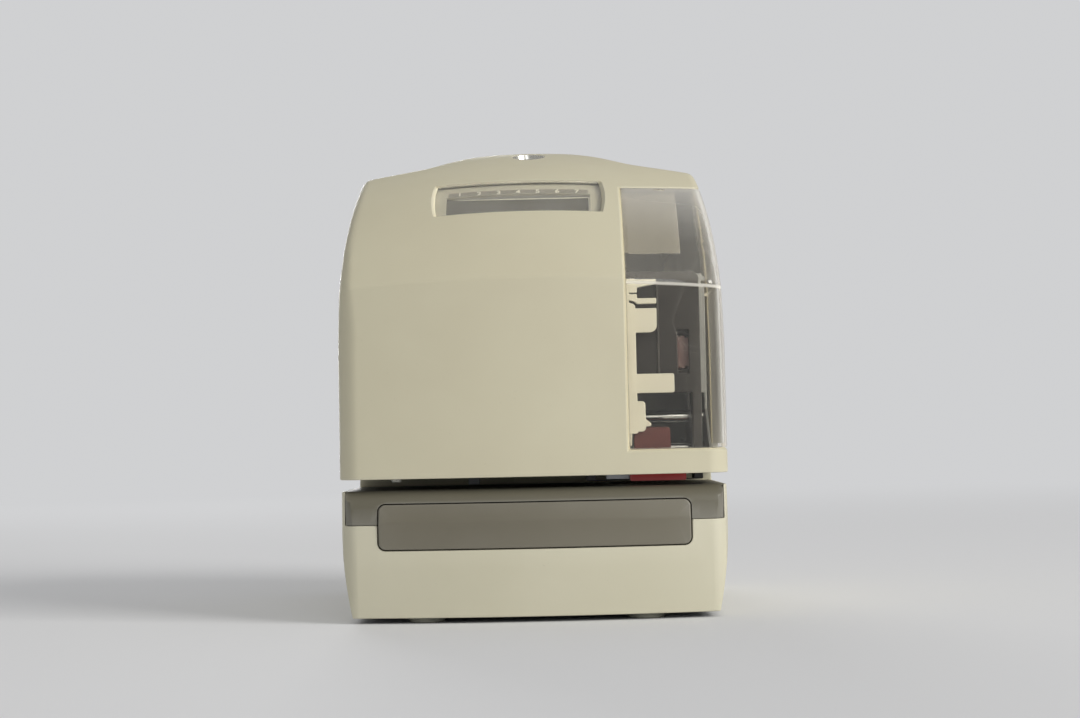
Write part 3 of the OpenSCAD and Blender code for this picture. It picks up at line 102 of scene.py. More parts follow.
def node(tree, kind, sockets, **settings):
    """A new node with its settings and what its sockets are filled with."""
    made = tree.nodes.new(kind)
    for name, value in settings.items():
        setattr(made, name, value)
    return fill(made, sockets)


def seen_directly(tree):
    """1 where a ray comes from the eye or through a clear surface."""
    path = node(tree, "ShaderNodeLightPath", {})
    rays = {0: path.outputs["Is Camera Ray"], 1: path.outputs["Is Transmission Ray"]}
    return node(tree, "ShaderNodeMath", rays, operation="MAXIMUM")


def surround():
    """The world: a pale colour where it is seen, an even light elsewhere."""
    world = bpy.data.worlds.new("surround")
    bpy.context.scene.world = world
    world.use_nodes = True
    tree = world.node_tree
    tree.nodes.clear()
    seen = node(tree, "ShaderNodeBackground", {"Color": surround_colour})
    light = node(tree, "ShaderNodeBackground", {"Color": (1, 1, 1, 1), "Strength": even_light})
    mix = node(tree, "ShaderNodeMixShader", {0: seen_directly(tree), 1: light, 2: seen})
    node(tree, "ShaderNodeOutputWorld", {"Surface": mix})


def finish_of(name):
    """A new material with its tree, its shader and the place that it is read at."""
    finish = bpy.data.materials.new(name)
    finish.use_nodes = True
    tree = finish.node_tree
    place = node(tree, "ShaderNodeTexCoord", {}).outputs["Object"]
    return finish, tree, tree.nodes["Principled BSDF"], place


def floor_finish():
    """Pale matt floor that fades into the surround."""
    finish, tree, shader, place = finish_of("pale_floor")
    fill(shader, {"Base Color": floor_colour, "Roughness": floor_rough})
    fill(shader, {"Specular IOR Level": floor_gloss})
    reach = node(tree, "ShaderNodeVectorMath", {0: place}, operation="LENGTH")
    ends = {"Value": reach.outputs["Value"], "From Min": fade_start, "From Max": fade_end}
    fade = node(tree, "ShaderNodeMapRange", ends, interpolation_type="SMOOTHSTEP")
    glow = node(tree, "ShaderNodeEmission", {"Color": surround_colour})
    share = node(tree, "ShaderNodeMath", {0: fade, 1: seen_directly(tree)}, operation="MULTIPLY")
    mix = node(tree, "ShaderNodeMixShader", {0: share, 1: shader, 2: glow})
    fill(tree.nodes["Material Output"], {"Surface": mix})
    return finish


def new_piece(name, mesh):
    """An object for a finished mesh."""
    piece = bpy.data.objects.new(name, mesh)
    bpy.context.scene.collection.objects.link(piece)
    return piece


def mesh_of(work, name):
    """A mesh out of finished work."""
    mesh = bpy.data.meshes.new(name)
    work.to_mesh(mesh)
    work.free()
    return mesh


def disc(name, radius, sides):
    """A flat round floor."""
    work = bmesh.new()
    bmesh.ops.create_circle(work, cap_ends=True, radius=radius, segments=sides)
    return mesh_of(work, name)


def soft_lamp(name, place, size, power, colour):
    """A square lamp that faces the machine."""
    lamp = bpy.data.lights.new(name, "AREA")
    lamp.shape = "SQUARE"
    lamp.size = size
    lamp.energy = power
    lamp.color = colour
    holder = bpy.data.objects.new(name, lamp)
    bpy.context.scene.collection.objects.link(holder)
    holder.location = place
    holder.rotation_euler = (middle - holder.location).to_track_quat("-Z", "Y").to_euler()


surround()
floor = new_piece("floor", disc("floor", floor_radius, 128))
floor.data.materials.append(floor_finish())
soft_lamp("right_lamp", Vector((3.0, -1.9, 1.75)), 1.8, 100, (1, 0.985, 0.955))
soft_lamp("front_lamp", Vector((0.4, -1.75, 0.68)), 0.6, 2.4, (0.95, 0.975, 1))
soft_lamp("rear_lamp", Vector((-0.9, 3.9, 0.8)), 1.6, 58, (1, 1, 1))

# Cover
# A moulded cream shell that lifts off the base: a bowed, slightly leaning front, sides that draw in,
# a round crown and a hump. It is made here with its soft edges and a wall of even thickness.
cover_low, cover_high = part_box("cover_shell")
half_width = cover_high.x
wall = 2.5 * mm
front_bow = 452 * mm
front_lean = math.radians(1.5)
corner_low = 9 * mm
corner_high = 3.5 * mm
corner_change = (0.125, 0.165)
rear_corner = 6 * mm
crease_soft = 0.35 * mm
side_start_z = cover_low.z + 49.1 * mm
side_radius = 490 * mm
crown_radius = 121.8 * mm
crown_side_radius = 420 * mm
crown_axis = Vector((0, 17 * mm, cover_high.z - crown_radius))
hump_radius = 97 * mm
shoulder_foot = Vector((47 * mm, cover_high.z - 10.9 * mm))
shoulder_fall = 0.183
hump_blend = 2.2 * mm
top_soft = 1.0 * mm
grid_fine = 1.0 * mm
grid_coarse = 2.7 * mm
grid_edge = 12 * mm
crease_rows = (142 * mm, 151 * mm)
crease_step = 0.45 * mm
same_point = 0.001 * mm
sharp_turn = 1.0


def round_meet(a, b, radius):
    """Two faces, given by their distances, that meet in a rounded edge."""
    edge = np.hypot(np.maximum(a + radius, 0), np.maximum(b + radius, 0))
    return np.minimum(-radius, np.maximum(a, b)) + edge


def cover_distance(x, y, z):
    """Distance from the cover's outer face, negative inside."""
    up = z - cover_low.z
    behind = (y - cover_low.y) * math.cos(front_lean) - up * math.sin(front_lean)
    front = np.hypot(x, behind - front_bow) - front_bow
    over = np.maximum(z - side_start_z, 0)
    side = np.hypot(np.abs(x) - half_width + side_radius, over) - side_radius
    reach = np.hypot(y - crown_axis.y, np.maximum(z - crown_axis.z, 0))
    crown = np.hypot(reach - crown_radius + crown_side_radius, x) - crown_side_radius
    hump_z = cover_high.z - hump_radius + np.sqrt(np.maximum(hump_radius**2 - x**2, 0))
    shoulder_z = shoulder_foot.y - (np.abs(x) - shoulder_foot.x) * shoulder_fall
    near = np.maximum(hump_blend - np.abs(hump_z - shoulder_z), 0)
    outline = z - np.maximum(hump_z, shoulder_z) - near**2 / (4 * hump_blend)
    top = round_meet(crown, outline, top_soft)
    turn = np.clip((z - corner_change[0]) / (corner_change[1] - corner_change[0]), 0, 1)
    corner = corner_low + (corner_high - corner_low) * turn
    face = round_meet(round_meet(front, top, crease_soft), side, corner)
    return round_meet(face, y - cover_high.y, rear_corner)


def steps(low, high, dense=None):
    """Places from low to high, closer together near both ends and within a dense stretch."""
    marks = [(low, low + grid_edge, grid_fine)]
    if dense:
        marks += [(low + grid_edge, dense[0], grid_coarse), (*dense, crease_step)]
        marks += [(dense[1], high - grid_edge, grid_coarse)]
    else:
        marks += [(low + grid_edge, high - grid_edge, grid_coarse)]
    marks += [(high - grid_edge, high, grid_fine)]
    rows = [np.linspace(a, b, max(1, round((b - a) / step)), endpoint=False) for a, b, step in marks]
    return np.concatenate([*rows, [high]])


def cast(origin, aims, distance, inset, far=0.3):
    """Points where rays from the origin towards the aims leave a form shrunk by inset."""
    ways = aims - origin
    ways = ways / np.linalg.norm(ways, axis=1)[:, None]
    low = np.zeros(len(aims))
    high = np.full(len(aims), far)
    for _ in range(40):
        half = (low + high) / 2
        at = origin + ways * half[:, None]
        outside = distance(at[:, 0], at[:, 1], at[:, 2]) > -inset
        high = np.where(outside, half, high)
        low = np.where(outside, low, half)
    return origin + ways * high[:, None]


def box_grid(low, high, foot):
    """Aims on the four walls and the top of a box, and the quads between them."""
    xs = steps(low.x, high.x)
    ys = steps(low.y, high.y)
    zs = steps(foot, high.z, crease_rows)
    aims = []
    quads = []

    def patch(rows):
        start = len(aims)
        for row in rows:
            aims.extend(row)
        wide = len(rows[0])
        for i in range(len(rows) - 1):
            for j in range(wide - 1):
                a = start + i * wide + j
                quads.append((a, a + 1, a + wide + 1, a + wide))

    patch([[(x, low.y, z) for x in xs] for z in zs])
    patch([[(x, high.y, z) for x in xs[::-1]] for z in zs])
    patch([[(high.x, y, z) for y in ys] for z in zs])
    patch([[(low.x, y, z) for y in ys[::-1]] for z in zs])
    patch([[(x, y, high.z) for x in xs] for y in ys])
    return np.array(aims), quads


def shell_mesh(name, distance, inset, thickness, rim):
    """A wall of even thickness over the cover's form, open below, with a rounded rim."""
    origin = np.array([0, 0, cover_low.z + rim])
    aims, quads = box_grid(cover_low, cover_high, cover_low.z + rim)
    work = bmesh.new()
    skins = []
    for depth in (inset, inset + thickness):
        skins.append([work.verts.new(p) for p in cast(origin, aims, distance, depth)])
    for quad in quads:
        work.faces.new([skins[0][i] for i in quad])
        work.faces.new([skins[1][i] for i in reversed(quad)])
    bmesh.ops.remove_doubles(work, verts=work.verts, dist=same_point)
    bmesh.ops.bridge_loops(work, edges=[e for e in work.edges if e.is_boundary])
    rims = [e for e in work.edges if len(e.link_faces) == 2 and e.calc_face_angle(0) > sharp_turn]
    rims = [e for e in rims if max(v.co.z for v in e.verts) < cover_low.z + rim + 10 * same_point]
    for vertex in {v for e in rims for v in e.verts}:
        vertex.co.z = cover_low.z
    bmesh.ops.bevel(work, geom=rims, offset=rim, segments=2, affect="EDGES", profile=0.5)
    bmesh.ops.recalc_face_normals(work, faces=work.faces)
    return mesh_of(work, name)


def solid_between(name, loops, closed=False):
    """A closed solid through a row of loops, capped at both ends or closed on itself."""
    work = bmesh.new()
    rings = [[work.verts.new(p) for p in loop] for loop in loops]
    count = len(loops[0])
    pairs = list(zip(rings, rings[1:]))
    if closed:
        pairs.append((rings[-1], rings[0]))
    for a, b in pairs:
        for i in range(count):
            j = (i + 1) % count
            work.faces.new([a[i], a[j], b[j], b[i]])
    if not closed:
        work.faces.new(rings[0])
        work.faces.new(rings[-1])
    bmesh.ops.recalc_face_normals(work, faces=work.faces)
    if work.calc_volume(signed=True) < 0:
        bmesh.ops.reverse_faces(work, faces=work.faces)
    return new_piece(name, mesh_of(work, name))


def plain_copy(piece):
    """The mesh of a piece with its modifiers applied, which are then removed."""
    bpy.context.view_layer.update()
    shown = piece.evaluated_get(bpy.context.evaluated_depsgraph_get())
    piece.data = bpy.data.meshes.new_from_object(shown)
    piece.modifiers.clear()
    return piece


def carve(piece, tools, operation="DIFFERENCE"):
    """Cuts the tools out of a piece, or keeps or adds what they share, and drops the tools."""
    for tool in tools:
        cut = piece.modifiers.new("cut", "BOOLEAN")
        cut.operation = operation
        cut.solver = "EXACT"
        cut.object = tool
    plain_copy(piece)
    for tool in tools:
        bpy.data.objects.remove(tool)
    return piece


def block(name, low, high, place=Matrix()):
    """A plain box between two corners of a frame, as a tool."""
    corners = [(low[0], low[1]), (high[0], low[1]), (high[0], high[1]), (low[0], high[1])]
    loops = [[place @ Vector((x, y, z)) for x, y in corners] for z in (low[2], high[2])]
    return solid_between(name, loops)


def arc(centre, radius, first, last, count):
    """Points round a centre, from one angle to another in degrees."""
    turns = np.radians(np.linspace(first, last, count + 1))
    return [(centre[0] + radius * math.cos(a), centre[1] + radius * math.sin(a)) for a in turns]


def turned(name, place, outline, sides=96, closed=False):
    """A round solid through (radius, height) points, along a frame's Z."""
    loops = []
    for radius, height in outline:
        ring = arc((0, 0), radius, 0, 360, sides)[:-1]
        loops.append([place @ Vector((x, y, height)) for x, y in ring])
    return solid_between(name, loops, closed)


def tone(red, green, blue):
    """A colour of 0 to 255 for each of its parts, as a shader reads it."""
    parts = []
    for part in (red, green, blue):
        share = part / 255
        parts.append(share / 12.92 if share <= 0.04045 else ((share + 0.055) / 1.055) ** 2.4)
    return (*parts, 1)


def noise(tree, place, size, detail=2.0):
    """Noise whose lumps measure about size."""
    sockets = {"Vector": place, "Scale": 0.5 / size, "Detail": detail}
    return node(tree, "ShaderNodeTexNoise", sockets)


def spread(tree, source, low, high, start=0.3, end=0.7):
    """A value that runs from low to high while its source runs from start to end."""
    ends = {"From Min": start, "From Max": end, "To Min": low, "To Max": high}
    return node(tree, "ShaderNodeMapRange", {"Value": source, **ends})


def mapped(tree, place, **ways):
    """A place turned or stretched."""
    return node(tree, "ShaderNodeMapping", {"Vector": place, **ways})


def blend(tree, share, first, second):
    """A colour between two, each a plain colour or a socket."""
    mix = node(tree, "ShaderNodeMix", {"Factor": share}, data_type="RGBA")
    ends = [i for i, socket in enumerate(mix.inputs) if socket.type == "RGBA"]
    fill(mix, {ends[0]: first, ends[1]: second})
    return next(socket for socket in mix.outputs if socket.type == "RGBA")


def raised(tree, shader, source, strength, depth):
    """Fine relief from a noise."""
    ways = {"Strength": strength, "Distance": depth, "Height": source}
    fill(shader, {"Normal": node(tree, "ShaderNodeBump", ways)})


def dimmed(colour, share):
    """A colour with each part times a share, at most full."""
    return [min(1, part * share) for part in colour[:3]] + [1]


def moulded(name, light, dark, grain=0.45 * mm, depth=0.012 * mm, rough=(0.38, 0.5), edge_wear_and_highlight=0.35):
    """Moulded plastic: spark-eroded grain, faint clouds and specks, paler edges that are rubbed wear and
    partly a painted highlight, and uneven gloss.
    """
    finish, tree, shader, place = finish_of(name)
    clouds = spread(tree, noise(tree, place, 28 * mm, 3), 0, 1)
    specks = spread(tree, noise(tree, place, 0.45 * mm, 1), 0, 0.16, 0.74, 0.8)
    soiled = blend(tree, specks, blend(tree, clouds, dark, light), dimmed(dark, 0.55))
    pale = [part + (1 - part) * 0.22 for part in light[:3]] + [1]
    shape = node(tree, "ShaderNodeNewGeometry", {})
    rubbed_and_lit_edges = spread(tree, shape.outputs["Pointiness"], 0, edge_wear_and_highlight, 0.51, 0.56)
    fill(shader, {"Base Color": blend(tree, rubbed_and_lit_edges, soiled, pale)})
    fill(shader, {"Roughness": spread(tree, noise(tree, place, 5 * mm), *rough)})
    raised(tree, shader, noise(tree, place, grain), 0.6, depth)
    fill(shader, {"Specular IOR Level": 0.42})
    return finish


def smooth(mesh, angle=32):
    """Smooth faces with crisp edges where they turn by more than an angle."""
    mesh.polygons.foreach_set("use_smooth", [True] * len(mesh.polygons))
    mesh.set_sharp_from_angle(angle=math.radians(angle))


def dress(piece, finish, body, slot, *nodes, angle=32):
    """A finished piece takes its material and its solids' places, and goes on its body, or stays where it
    is when it lies between two.
    """
    piece.data.materials.clear()
    piece.data.materials.append(finish)
    smooth(piece.data, angle)
    evener = piece.modifiers.new("even_shading", "WEIGHTED_NORMAL")
    evener.keep_sharp = True
    plain_copy(piece)
    if isinstance(body, str):
        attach(piece, body)
    else:
        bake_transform(piece)
    if nodes:
        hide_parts(*nodes)
    return piece


def on_crown(x, angle):
    """A frame on the crown, with X across, Y up the slope and Z outwards."""
    axis = Vector((x, crown_axis.y, crown_axis.z))
    turn = Matrix.Rotation(math.radians(angle), 4, "X")
    return Matrix.Translation(axis) @ turn @ Matrix.Translation((0, 0, crown_radius))


def face_under(place, flat, distance, inset=0.0, depth=14 * mm):
    """For flat points of a frame, their heights on a form, measured along the frame's Z."""
    starts = np.array([place @ Vector((x, y, -depth)) for x, y in flat])
    way = np.array(place.to_3x3() @ Vector((0, 0, 1)))
    hits = cast(starts, starts + way, distance, inset, 3 * depth)
    return [(place.inverted() @ Vector(hit)).z for hit in hits]


window_low, window_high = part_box("side_window")
lens_low, lens_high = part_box("display_lens")
flange = 4 * mm
window_left = window_low.x + flange
window_foot = window_low.z + flange
window_head = window_high.z - flange
window_back = window_high.y - flange
window_chamfer = (1.15 * mm, 0.9 * mm)
display_angle = 39.6
display_x = (lens_low.x + lens_high.x) / 2
display_place = on_crown(display_x, display_angle)
pocket_size = (76.5 * mm, 24.9 * mm)
pocket_end = 60 * mm
pocket_ease = (1.5 * mm, 0.5 * mm)
pocket_ease_depth = 1.05 * mm
lock_angle = math.degrees(math.asin(35 * mm / crown_radius))
lock_place = on_crown(0, lock_angle)
lock_dish = 3.5 * mm
lock_recess = 7.4 * mm
lock_hole = 6.7 * mm


def slope_at(points, distance):
    """Outward directions on a form at given points."""
    reach = 0.05 * mm
    ways = []
    for axis in range(3):
        ahead = points.copy()
        behind = points.copy()
        ahead[:, axis] += reach
        behind[:, axis] -= reach
        ways.append(distance(*ahead.T) - distance(*behind.T))
    ways = np.array(ways).T
    return ways / np.linalg.norm(ways, axis=1)[:, None]


def window_edge(grow, fine=1.5 * mm):
    """Points along the window's outline on the cover's face, their outward and sideways ways."""
    left, foot = window_left - grow, window_foot - grow
    back, head = window_back + grow, window_head + grow
    rows = round((head - foot) / fine)
    turns = 60
    post = [(z, -90) for z in np.linspace(foot, head, rows, endpoint=False)]
    upper = [(head, a) for a in np.linspace(-90, 0, turns, endpoint=False)]
    rear = [(z, 0) for z in np.linspace(head, foot, rows, endpoint=False)]
    lower = [(foot, a) for a in np.linspace(0, -90, turns, endpoint=False)]
    points = []
    for z, angle in post + upper + rear + lower:
        start = np.array([[left, back, z]])
        way = np.array([[math.cos(math.radians(angle)), math.sin(math.radians(angle)), 0]])
        points.append(cast(start, start + way, cover_distance, 0)[0])
    points = np.array(points)
    normals = slope_at(points, cover_distance)
    sideways = []
    for after, at, before, normal in zip(np.roll(points, -1, 0), points, np.roll(points, 1, 0), normals):
        first = np.cross(normal, (at - before) / np.linalg.norm(at - before))
        second = np.cross(normal, (after - at) / np.linalg.norm(after - at))
        both = first + second
        sideways.append(both / max(1e-9, np.dot(both, both) / 2))
    return points, normals, np.array(sideways)


def window_chamfer_tool(name, grow, across, deep):
    """A ring that breaks the edge of a piece along the window's outline."""
    points, normals, sideways = window_edge(grow)
    centre = np.array([window_left + 20 * mm, -50 * mm, (window_foot + window_head) / 2])
    if np.mean(np.sum((points - centre) * sideways, axis=1)) < 0:
        sideways = -sideways
    inward = -0.3 * mm if across > 0 else 0.3 * mm
    out = 0.6 * mm
    loops = []
    for p, n, s in zip(points, normals, sideways):
        beyond = p + s * across * (1 + out / deep) + n * out
        loops.append([beyond, p - n * deep, p - n * deep + s * inward, p + n * 2 * out + s * inward])
    return solid_between(name, loops, closed=True)


def pocket_half(y, draw_in):
    """Half the pocket's width at a height y up its slope."""
    return pocket_size[0] / 2 - pocket_end + math.sqrt(pocket_end**2 - y**2) - draw_in


def pocket_loop(ends, edges, count=24):
    """The pocket's outline, its bowed ends and its long edges drawn in."""
    top = pocket_size[1] / 2 - edges
    heights = [top * (2 * i / count - 1) for i in range(count + 1)]
    reach = pocket_half(top, ends)
    across = [reach * (2 * i / count - 1) for i in range(1, count)]
    right = [(pocket_half(y, ends), y) for y in heights]
    left = [(-pocket_half(y, ends), y) for y in reversed(heights)]
    return right + [(x, top) for x in reversed(across)] + left + [(x, -top) for x in across]


def pocket_tool():
    """Cuts the pocket with its sloping edge."""
    depth = 8 * mm
    steps_down = [(0, 0, depth / 2), (0, 0, 0), (*pocket_ease, -pocket_ease_depth), (*pocket_ease, -depth)]
    levels = face_under(display_place, pocket_loop(0, 0), cover_distance)
    rings = []
    for ends, edges, height in steps_down:
        drawn = pocket_loop(ends, edges)
        rings.append([display_place @ Vector((x, y, z + height)) for (x, y), z in zip(drawn, levels)])
    return solid_between("pocket_tool", rings)


def window_block(name, inset, reach=120 * mm):
    """A block through the window's opening, an inset within its edges."""
    low = (window_left + inset, -reach, window_foot + inset)
    return block(name, low, (reach, window_back - inset, window_head - inset))


cream = moulded("cream_plastic", tone(209, 203, 177), tone(204, 197, 171))
cover = new_piece("cover_skin", shell_mesh("cover_skin", cover_distance, 0, wall, 0.5 * mm))
dish_rim = 0.5 * mm
dish_wide = lock_recess + 2 * dish_rim
tool_reach = 10 * mm
carve(cover, [
    window_block("window_tool", 0),
    pocket_tool(),
    turned("dish_tool", lock_place, [
        (lock_recess, -lock_dish), (lock_recess, -dish_rim), (dish_wide, dish_rim), (dish_wide, tool_reach),
    ]),
    turned("lock_tool", lock_place, [(lock_hole, -tool_reach), (lock_hole, tool_reach)]),
])
carve(cover, [window_chamfer_tool("window_chamfer_tool", 0, *window_chamfer)])
dress(cover, cream, "cover", "cream_plastic", "cover_shell")

# Side window
# A smoked clear pane let into the cover's front right corner. It is moulded in one piece with a rim
# round its back and a flange that lies behind the cover's wall, where two screws hold it.
seat_gap = 0.2 * mm
pane = 2 * mm
rim_wall = 1.7 * mm
rim_depth = (1 * mm, 3.2 * mm)
flange_depth = (wall + 0.05 * mm, 1.65 * mm)
# The crease's height, its fall across the pane, and the width of the painted highlight band along it.
crease_top = 143 * mm
crease_fall = 0.47
crease_highlight_width = 0.7 * mm
hair_reach = 17 * mm
pull_tab = (57.5 * mm, 0, window_head - 1.2 * mm)


def clouded(name, colour, rough=0.03):
    """Clear plastic that lets light by: its shader, and a place to add what clouds it."""
    finish, tree, shader, place = finish_of(name)
    fill(shader, {"IOR": 1.49, "Specular IOR Level": 0.25})
    wipes = spread(tree, noise(tree, place, 9 * mm, 3), rough, rough + 0.04)
    fill(shader, {"Roughness": wipes})
    cloud = spread(tree, noise(tree, place, 30 * mm, 2), 0, 1)
    fill(shader, {"Base Color": blend(tree, cloud, colour, dimmed(colour, 1.04))})
    through = node(tree, "ShaderNodeBsdfTransparent", {"Color": colour})
    path = node(tree, "ShaderNodeLightPath", {})
    sockets = {0: path.outputs["Is Shadow Ray"], 1: shader, 2: through}
    either = node(tree, "ShaderNodeMixShader", sockets)
    fill(tree.nodes["Material Output"], {"Surface": either})
    return finish, tree, shader, place


def reckoned(tree, operation, *sources, clamp=False):
    """Values put together one after the other by an operation."""
    total = sources[0]
    for source in sources[1:]:
        total = node(tree, "ShaderNodeMath", {0: total, 1: source}, operation=operation, use_clamp=clamp)
    return total


def smoked_plastic():
    """The window's plastic: dust on its slope, a painted highlight band along its crease, hair scratches
    and milky edges.
    """
    finish, tree, shader, place = clouded("smoked_pane", tone(240, 237, 229))
    shape = node(tree, "ShaderNodeNewGeometry", {})
    facing = node(tree, "ShaderNodeSeparateXYZ", {"Vector": shape.outputs["Normal"]})
    dust = spread(tree, facing.outputs["Z"], 0, 0.07, 0.12, 0.42)
    dusty = reckoned(tree, "MULTIPLY", dust, spread(tree, noise(tree, place, 14 * mm, 4), 0.75, 1.1))
    # A milkier band along the bowed crease line is a painted highlight.
    x, _, z = node(tree, "ShaderNodeSeparateXYZ", {"Vector": place}).outputs
    bow = {0: reckoned(tree, "MULTIPLY", x, x), 1: crease_fall, 2: z}
    height = node(tree, "ShaderNodeMath", bow, operation="MULTIPLY_ADD")
    above = reckoned(tree, "SUBTRACT", height, crease_top)
    away = node(tree, "ShaderNodeMath", {0: above}, operation="ABSOLUTE")
    crease_highlight = spread(tree, away, 0.42, 0, crease_highlight_width * 0.5, crease_highlight_width * 1.3)
    bent = mapped(tree, place, Rotation=(0.2, 0.5, 0), Scale=(1, 1, 0.35))
    sockets = {"Vector": bent, "Scale": 1 / hair_reach}
    hairs = node(tree, "ShaderNodeTexVoronoi", sockets, feature="DISTANCE_TO_EDGE")
    fine = spread(tree, hairs, 0.14, 0, 0.001, 0.005)
    where = spread(tree, noise(tree, place, 16 * mm, 1), 0, 1, 0.52, 0.58)
    milky = node(tree, "ShaderNodeLayerWeight", {"Blend": 0.5})
    edge = spread(tree, milky.outputs["Facing"], 0, 0.6, 0.28, 0.8)
    scratched = reckoned(tree, "MULTIPLY", fine, where)
    haze = reckoned(tree, "ADD", dusty, crease_highlight, scratched, edge, clamp=True)
    fill(shader, {"Transmission Weight": spread(tree, haze, 0.995, 0, 0, 1)})
    return finish


def window_frame(name, depth, outer, inner):
    """A frame round the window's opening, in a layer behind the cover's face."""
    ring = new_piece(name, shell_mesh(name, cover_distance, *depth, 0.3 * mm))
    carve(ring, [window_block("frame_outer", outer)], "INTERSECT")
    return carve(ring, [window_block("frame_inner", inner, 130 * mm)])


def soften_outer_rim(piece, ease):
    """Breaks the sharp edges of a piece that lie on the cover's outer face."""
    work = bmesh.new()
    work.from_mesh(piece.data)
    at = np.array([v.co for v in work.verts])
    outer = np.abs(cover_distance(*at.T)) < 20 * same_point
    edges = [e for e in work.edges if e.is_manifold and e.calc_face_angle(0) > 0.9 * sharp_turn]
    edges = [e for e in edges if all(outer[v.index] for v in e.verts)]
    bmesh.ops.bevel(work, geom=edges, offset=ease, segments=2, affect="EDGES", profile=0.5,
                    clamp_overlap=False)
    piece.data = mesh_of(work, piece.name)


window = new_piece("window_pane", shell_mesh("window_pane", cover_distance, 0, pane, 0.3 * mm))
carve(window, [window_block("pane_tool", seat_gap)], "INTERSECT")
rim_inner = seat_gap + rim_wall
carve(window, [window_frame("window_rim", rim_depth, seat_gap, rim_inner)], "UNION")
soften_outer_rim(window, 0.4 * mm)
pane_plastic = smoked_plastic()
dress(window, pane_plastic, "cover", "smoked_pane", "side_window")
inside = np.array([pull_tab])
tab_spot = cast(inside, inside - np.array([[0, 1, 0]]), cover_distance, 0)[0]
tab_half = Matrix.Diagonal((2.8 * mm, 0.6 * mm, 0.65 * mm, 1))
tab_outline = [(max(0.02, math.cos(a)), math.sin(a)) for a in np.linspace(-1.57, 1.57, 13)]
tab = turned("pane_tab", Matrix.Translation(tab_spot) @ tab_half, tab_outline, 32)
dress(tab, pane_plastic, "cover", "smoked_pane")
flange_ring = window_frame("window_flange", flange_depth, -flange, seat_gap - 0.02 * mm)
dress(flange_ring, pane_plastic, "cover", "smoked_pane")

# Display lens
# A clear lens pressed into the pocket, a little below its sloping edge.
lens_sink = 0.3 * mm
lens_wall = 2 * mm
lens_gap = 0.08 * mm


def plate_on(name, place, rows, half_at, distance, top, bottom, count=40):
    """A plate that follows a form, between two depths below it."""
    flat = []
    for y in rows:
        reach = half_at(y)
        flat.extend((reach * (2 * i / count - 1), y) for i in range(count + 1))
    levels = face_under(place, flat, distance)
    wide = count + 1
    work = bmesh.new()
    skins = []
    for depth in (top, bottom):
        points = [Vector((x, y, level - depth)) for (x, y), level in zip(flat, levels)]
        skins.append([work.verts.new(place @ point) for point in points])
    for i in range(len(rows) - 1):
        for j in range(count):
            a = i * wide + j
            quad = (a, a + 1, a + wide + 1, a + wide)
            work.faces.new([skins[0][k] for k in quad])
            work.faces.new([skins[1][k] for k in reversed(quad)])
    bmesh.ops.bridge_loops(work, edges=[e for e in work.edges if e.is_boundary])
    bmesh.ops.recalc_face_normals(work, faces=work.faces)
    rims = [e for e in work.edges if e.calc_face_angle(0) > sharp_turn]
    bmesh.ops.bevel(work, geom=rims, offset=0.25 * mm, segments=2, affect="EDGES", profile=0.5)
    return new_piece(name, mesh_of(work, name))


def clear_plastic():
    """The lens's plastic, with a faint even haze of dust."""
    finish, tree, shader, place = clouded("clear_lens", tone(250, 249, 244))
    clear = spread(tree, noise(tree, place, 6 * mm, 4), 0.985, 0.955)
    fill(shader, {"Transmission Weight": clear})
    return finish


lens_top = pocket_size[1] / 2 - pocket_ease[1] - lens_gap
lens = plate_on(
    "lens", display_place, list(np.linspace(-lens_top, lens_top, 15)),
    lambda y: pocket_half(y, pocket_ease[0] + lens_gap), cover_distance, lens_sink, lens_sink + lens_wall,
)
dress(lens, clear_plastic(), "cover", "clear_lens", "display_lens")

# Lock
# A plated lock in the hump: a body held by a nut from inside, a plug that the key turns and a cam.
# A thin plated lining covers the wall of the dish that it stands in.


def eased(name, ease=0.25 * mm, segments=2, corner=28):
    """A copy of a node's solid with its edges eased."""
    work = bmesh.new()
    work.from_mesh(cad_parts[name].data)
    bmesh.ops.remove_doubles(work, verts=work.verts, dist=same_point)
    flat = math.radians(0.15)
    bmesh.ops.dissolve_limit(work, angle_limit=flat, verts=work.verts, edges=work.edges)
    sharp = [e for e in work.edges if e.is_manifold and e.calc_face_angle(0) > math.radians(corner)]
    if ease:
        bmesh.ops.bevel(work, geom=sharp, offset=ease, segments=segments, profile=0.5,
                        affect="EDGES", clamp_overlap=False)
    return new_piece(name + "_eased", mesh_of(work, name + "_eased"))


def metal(name, colour, rough=(0.25, 0.4), streak=(1, 1, 1), grain=0.3 * mm):
    """Bare metal with fine marks that run one way and dull clouds."""
    finish, tree, shader, place = finish_of(name)
    fill(shader, {"Metallic": 1.0})
    marks = noise(tree, mapped(tree, place, Scale=streak), grain, 3)
    fill(shader, {"Roughness": spread(tree, marks, *rough)})
    clouds = spread(tree, noise(tree, place, 12 * mm, 3), 0, 1)
    fill(shader, {"Base Color": blend(tree, clouds, dimmed(colour, 0.84), colour)})
    raised(tree, shader, marks, 0.3, 0.005 * mm)
    return finish


def carry_over(names, finish, body, slot, ease=0.25 * mm):
    """Eased copies of like nodes, with one finish."""
    for name in names:
        dress(eased(name, ease), finish, body, slot, name)


def merged(name, pieces):
    """One piece out of several, which go."""
    work = bmesh.new()
    for piece in pieces:
        work.from_mesh(piece.data)
        bpy.data.objects.remove(piece)
    return new_piece(name, mesh_of(work, name))


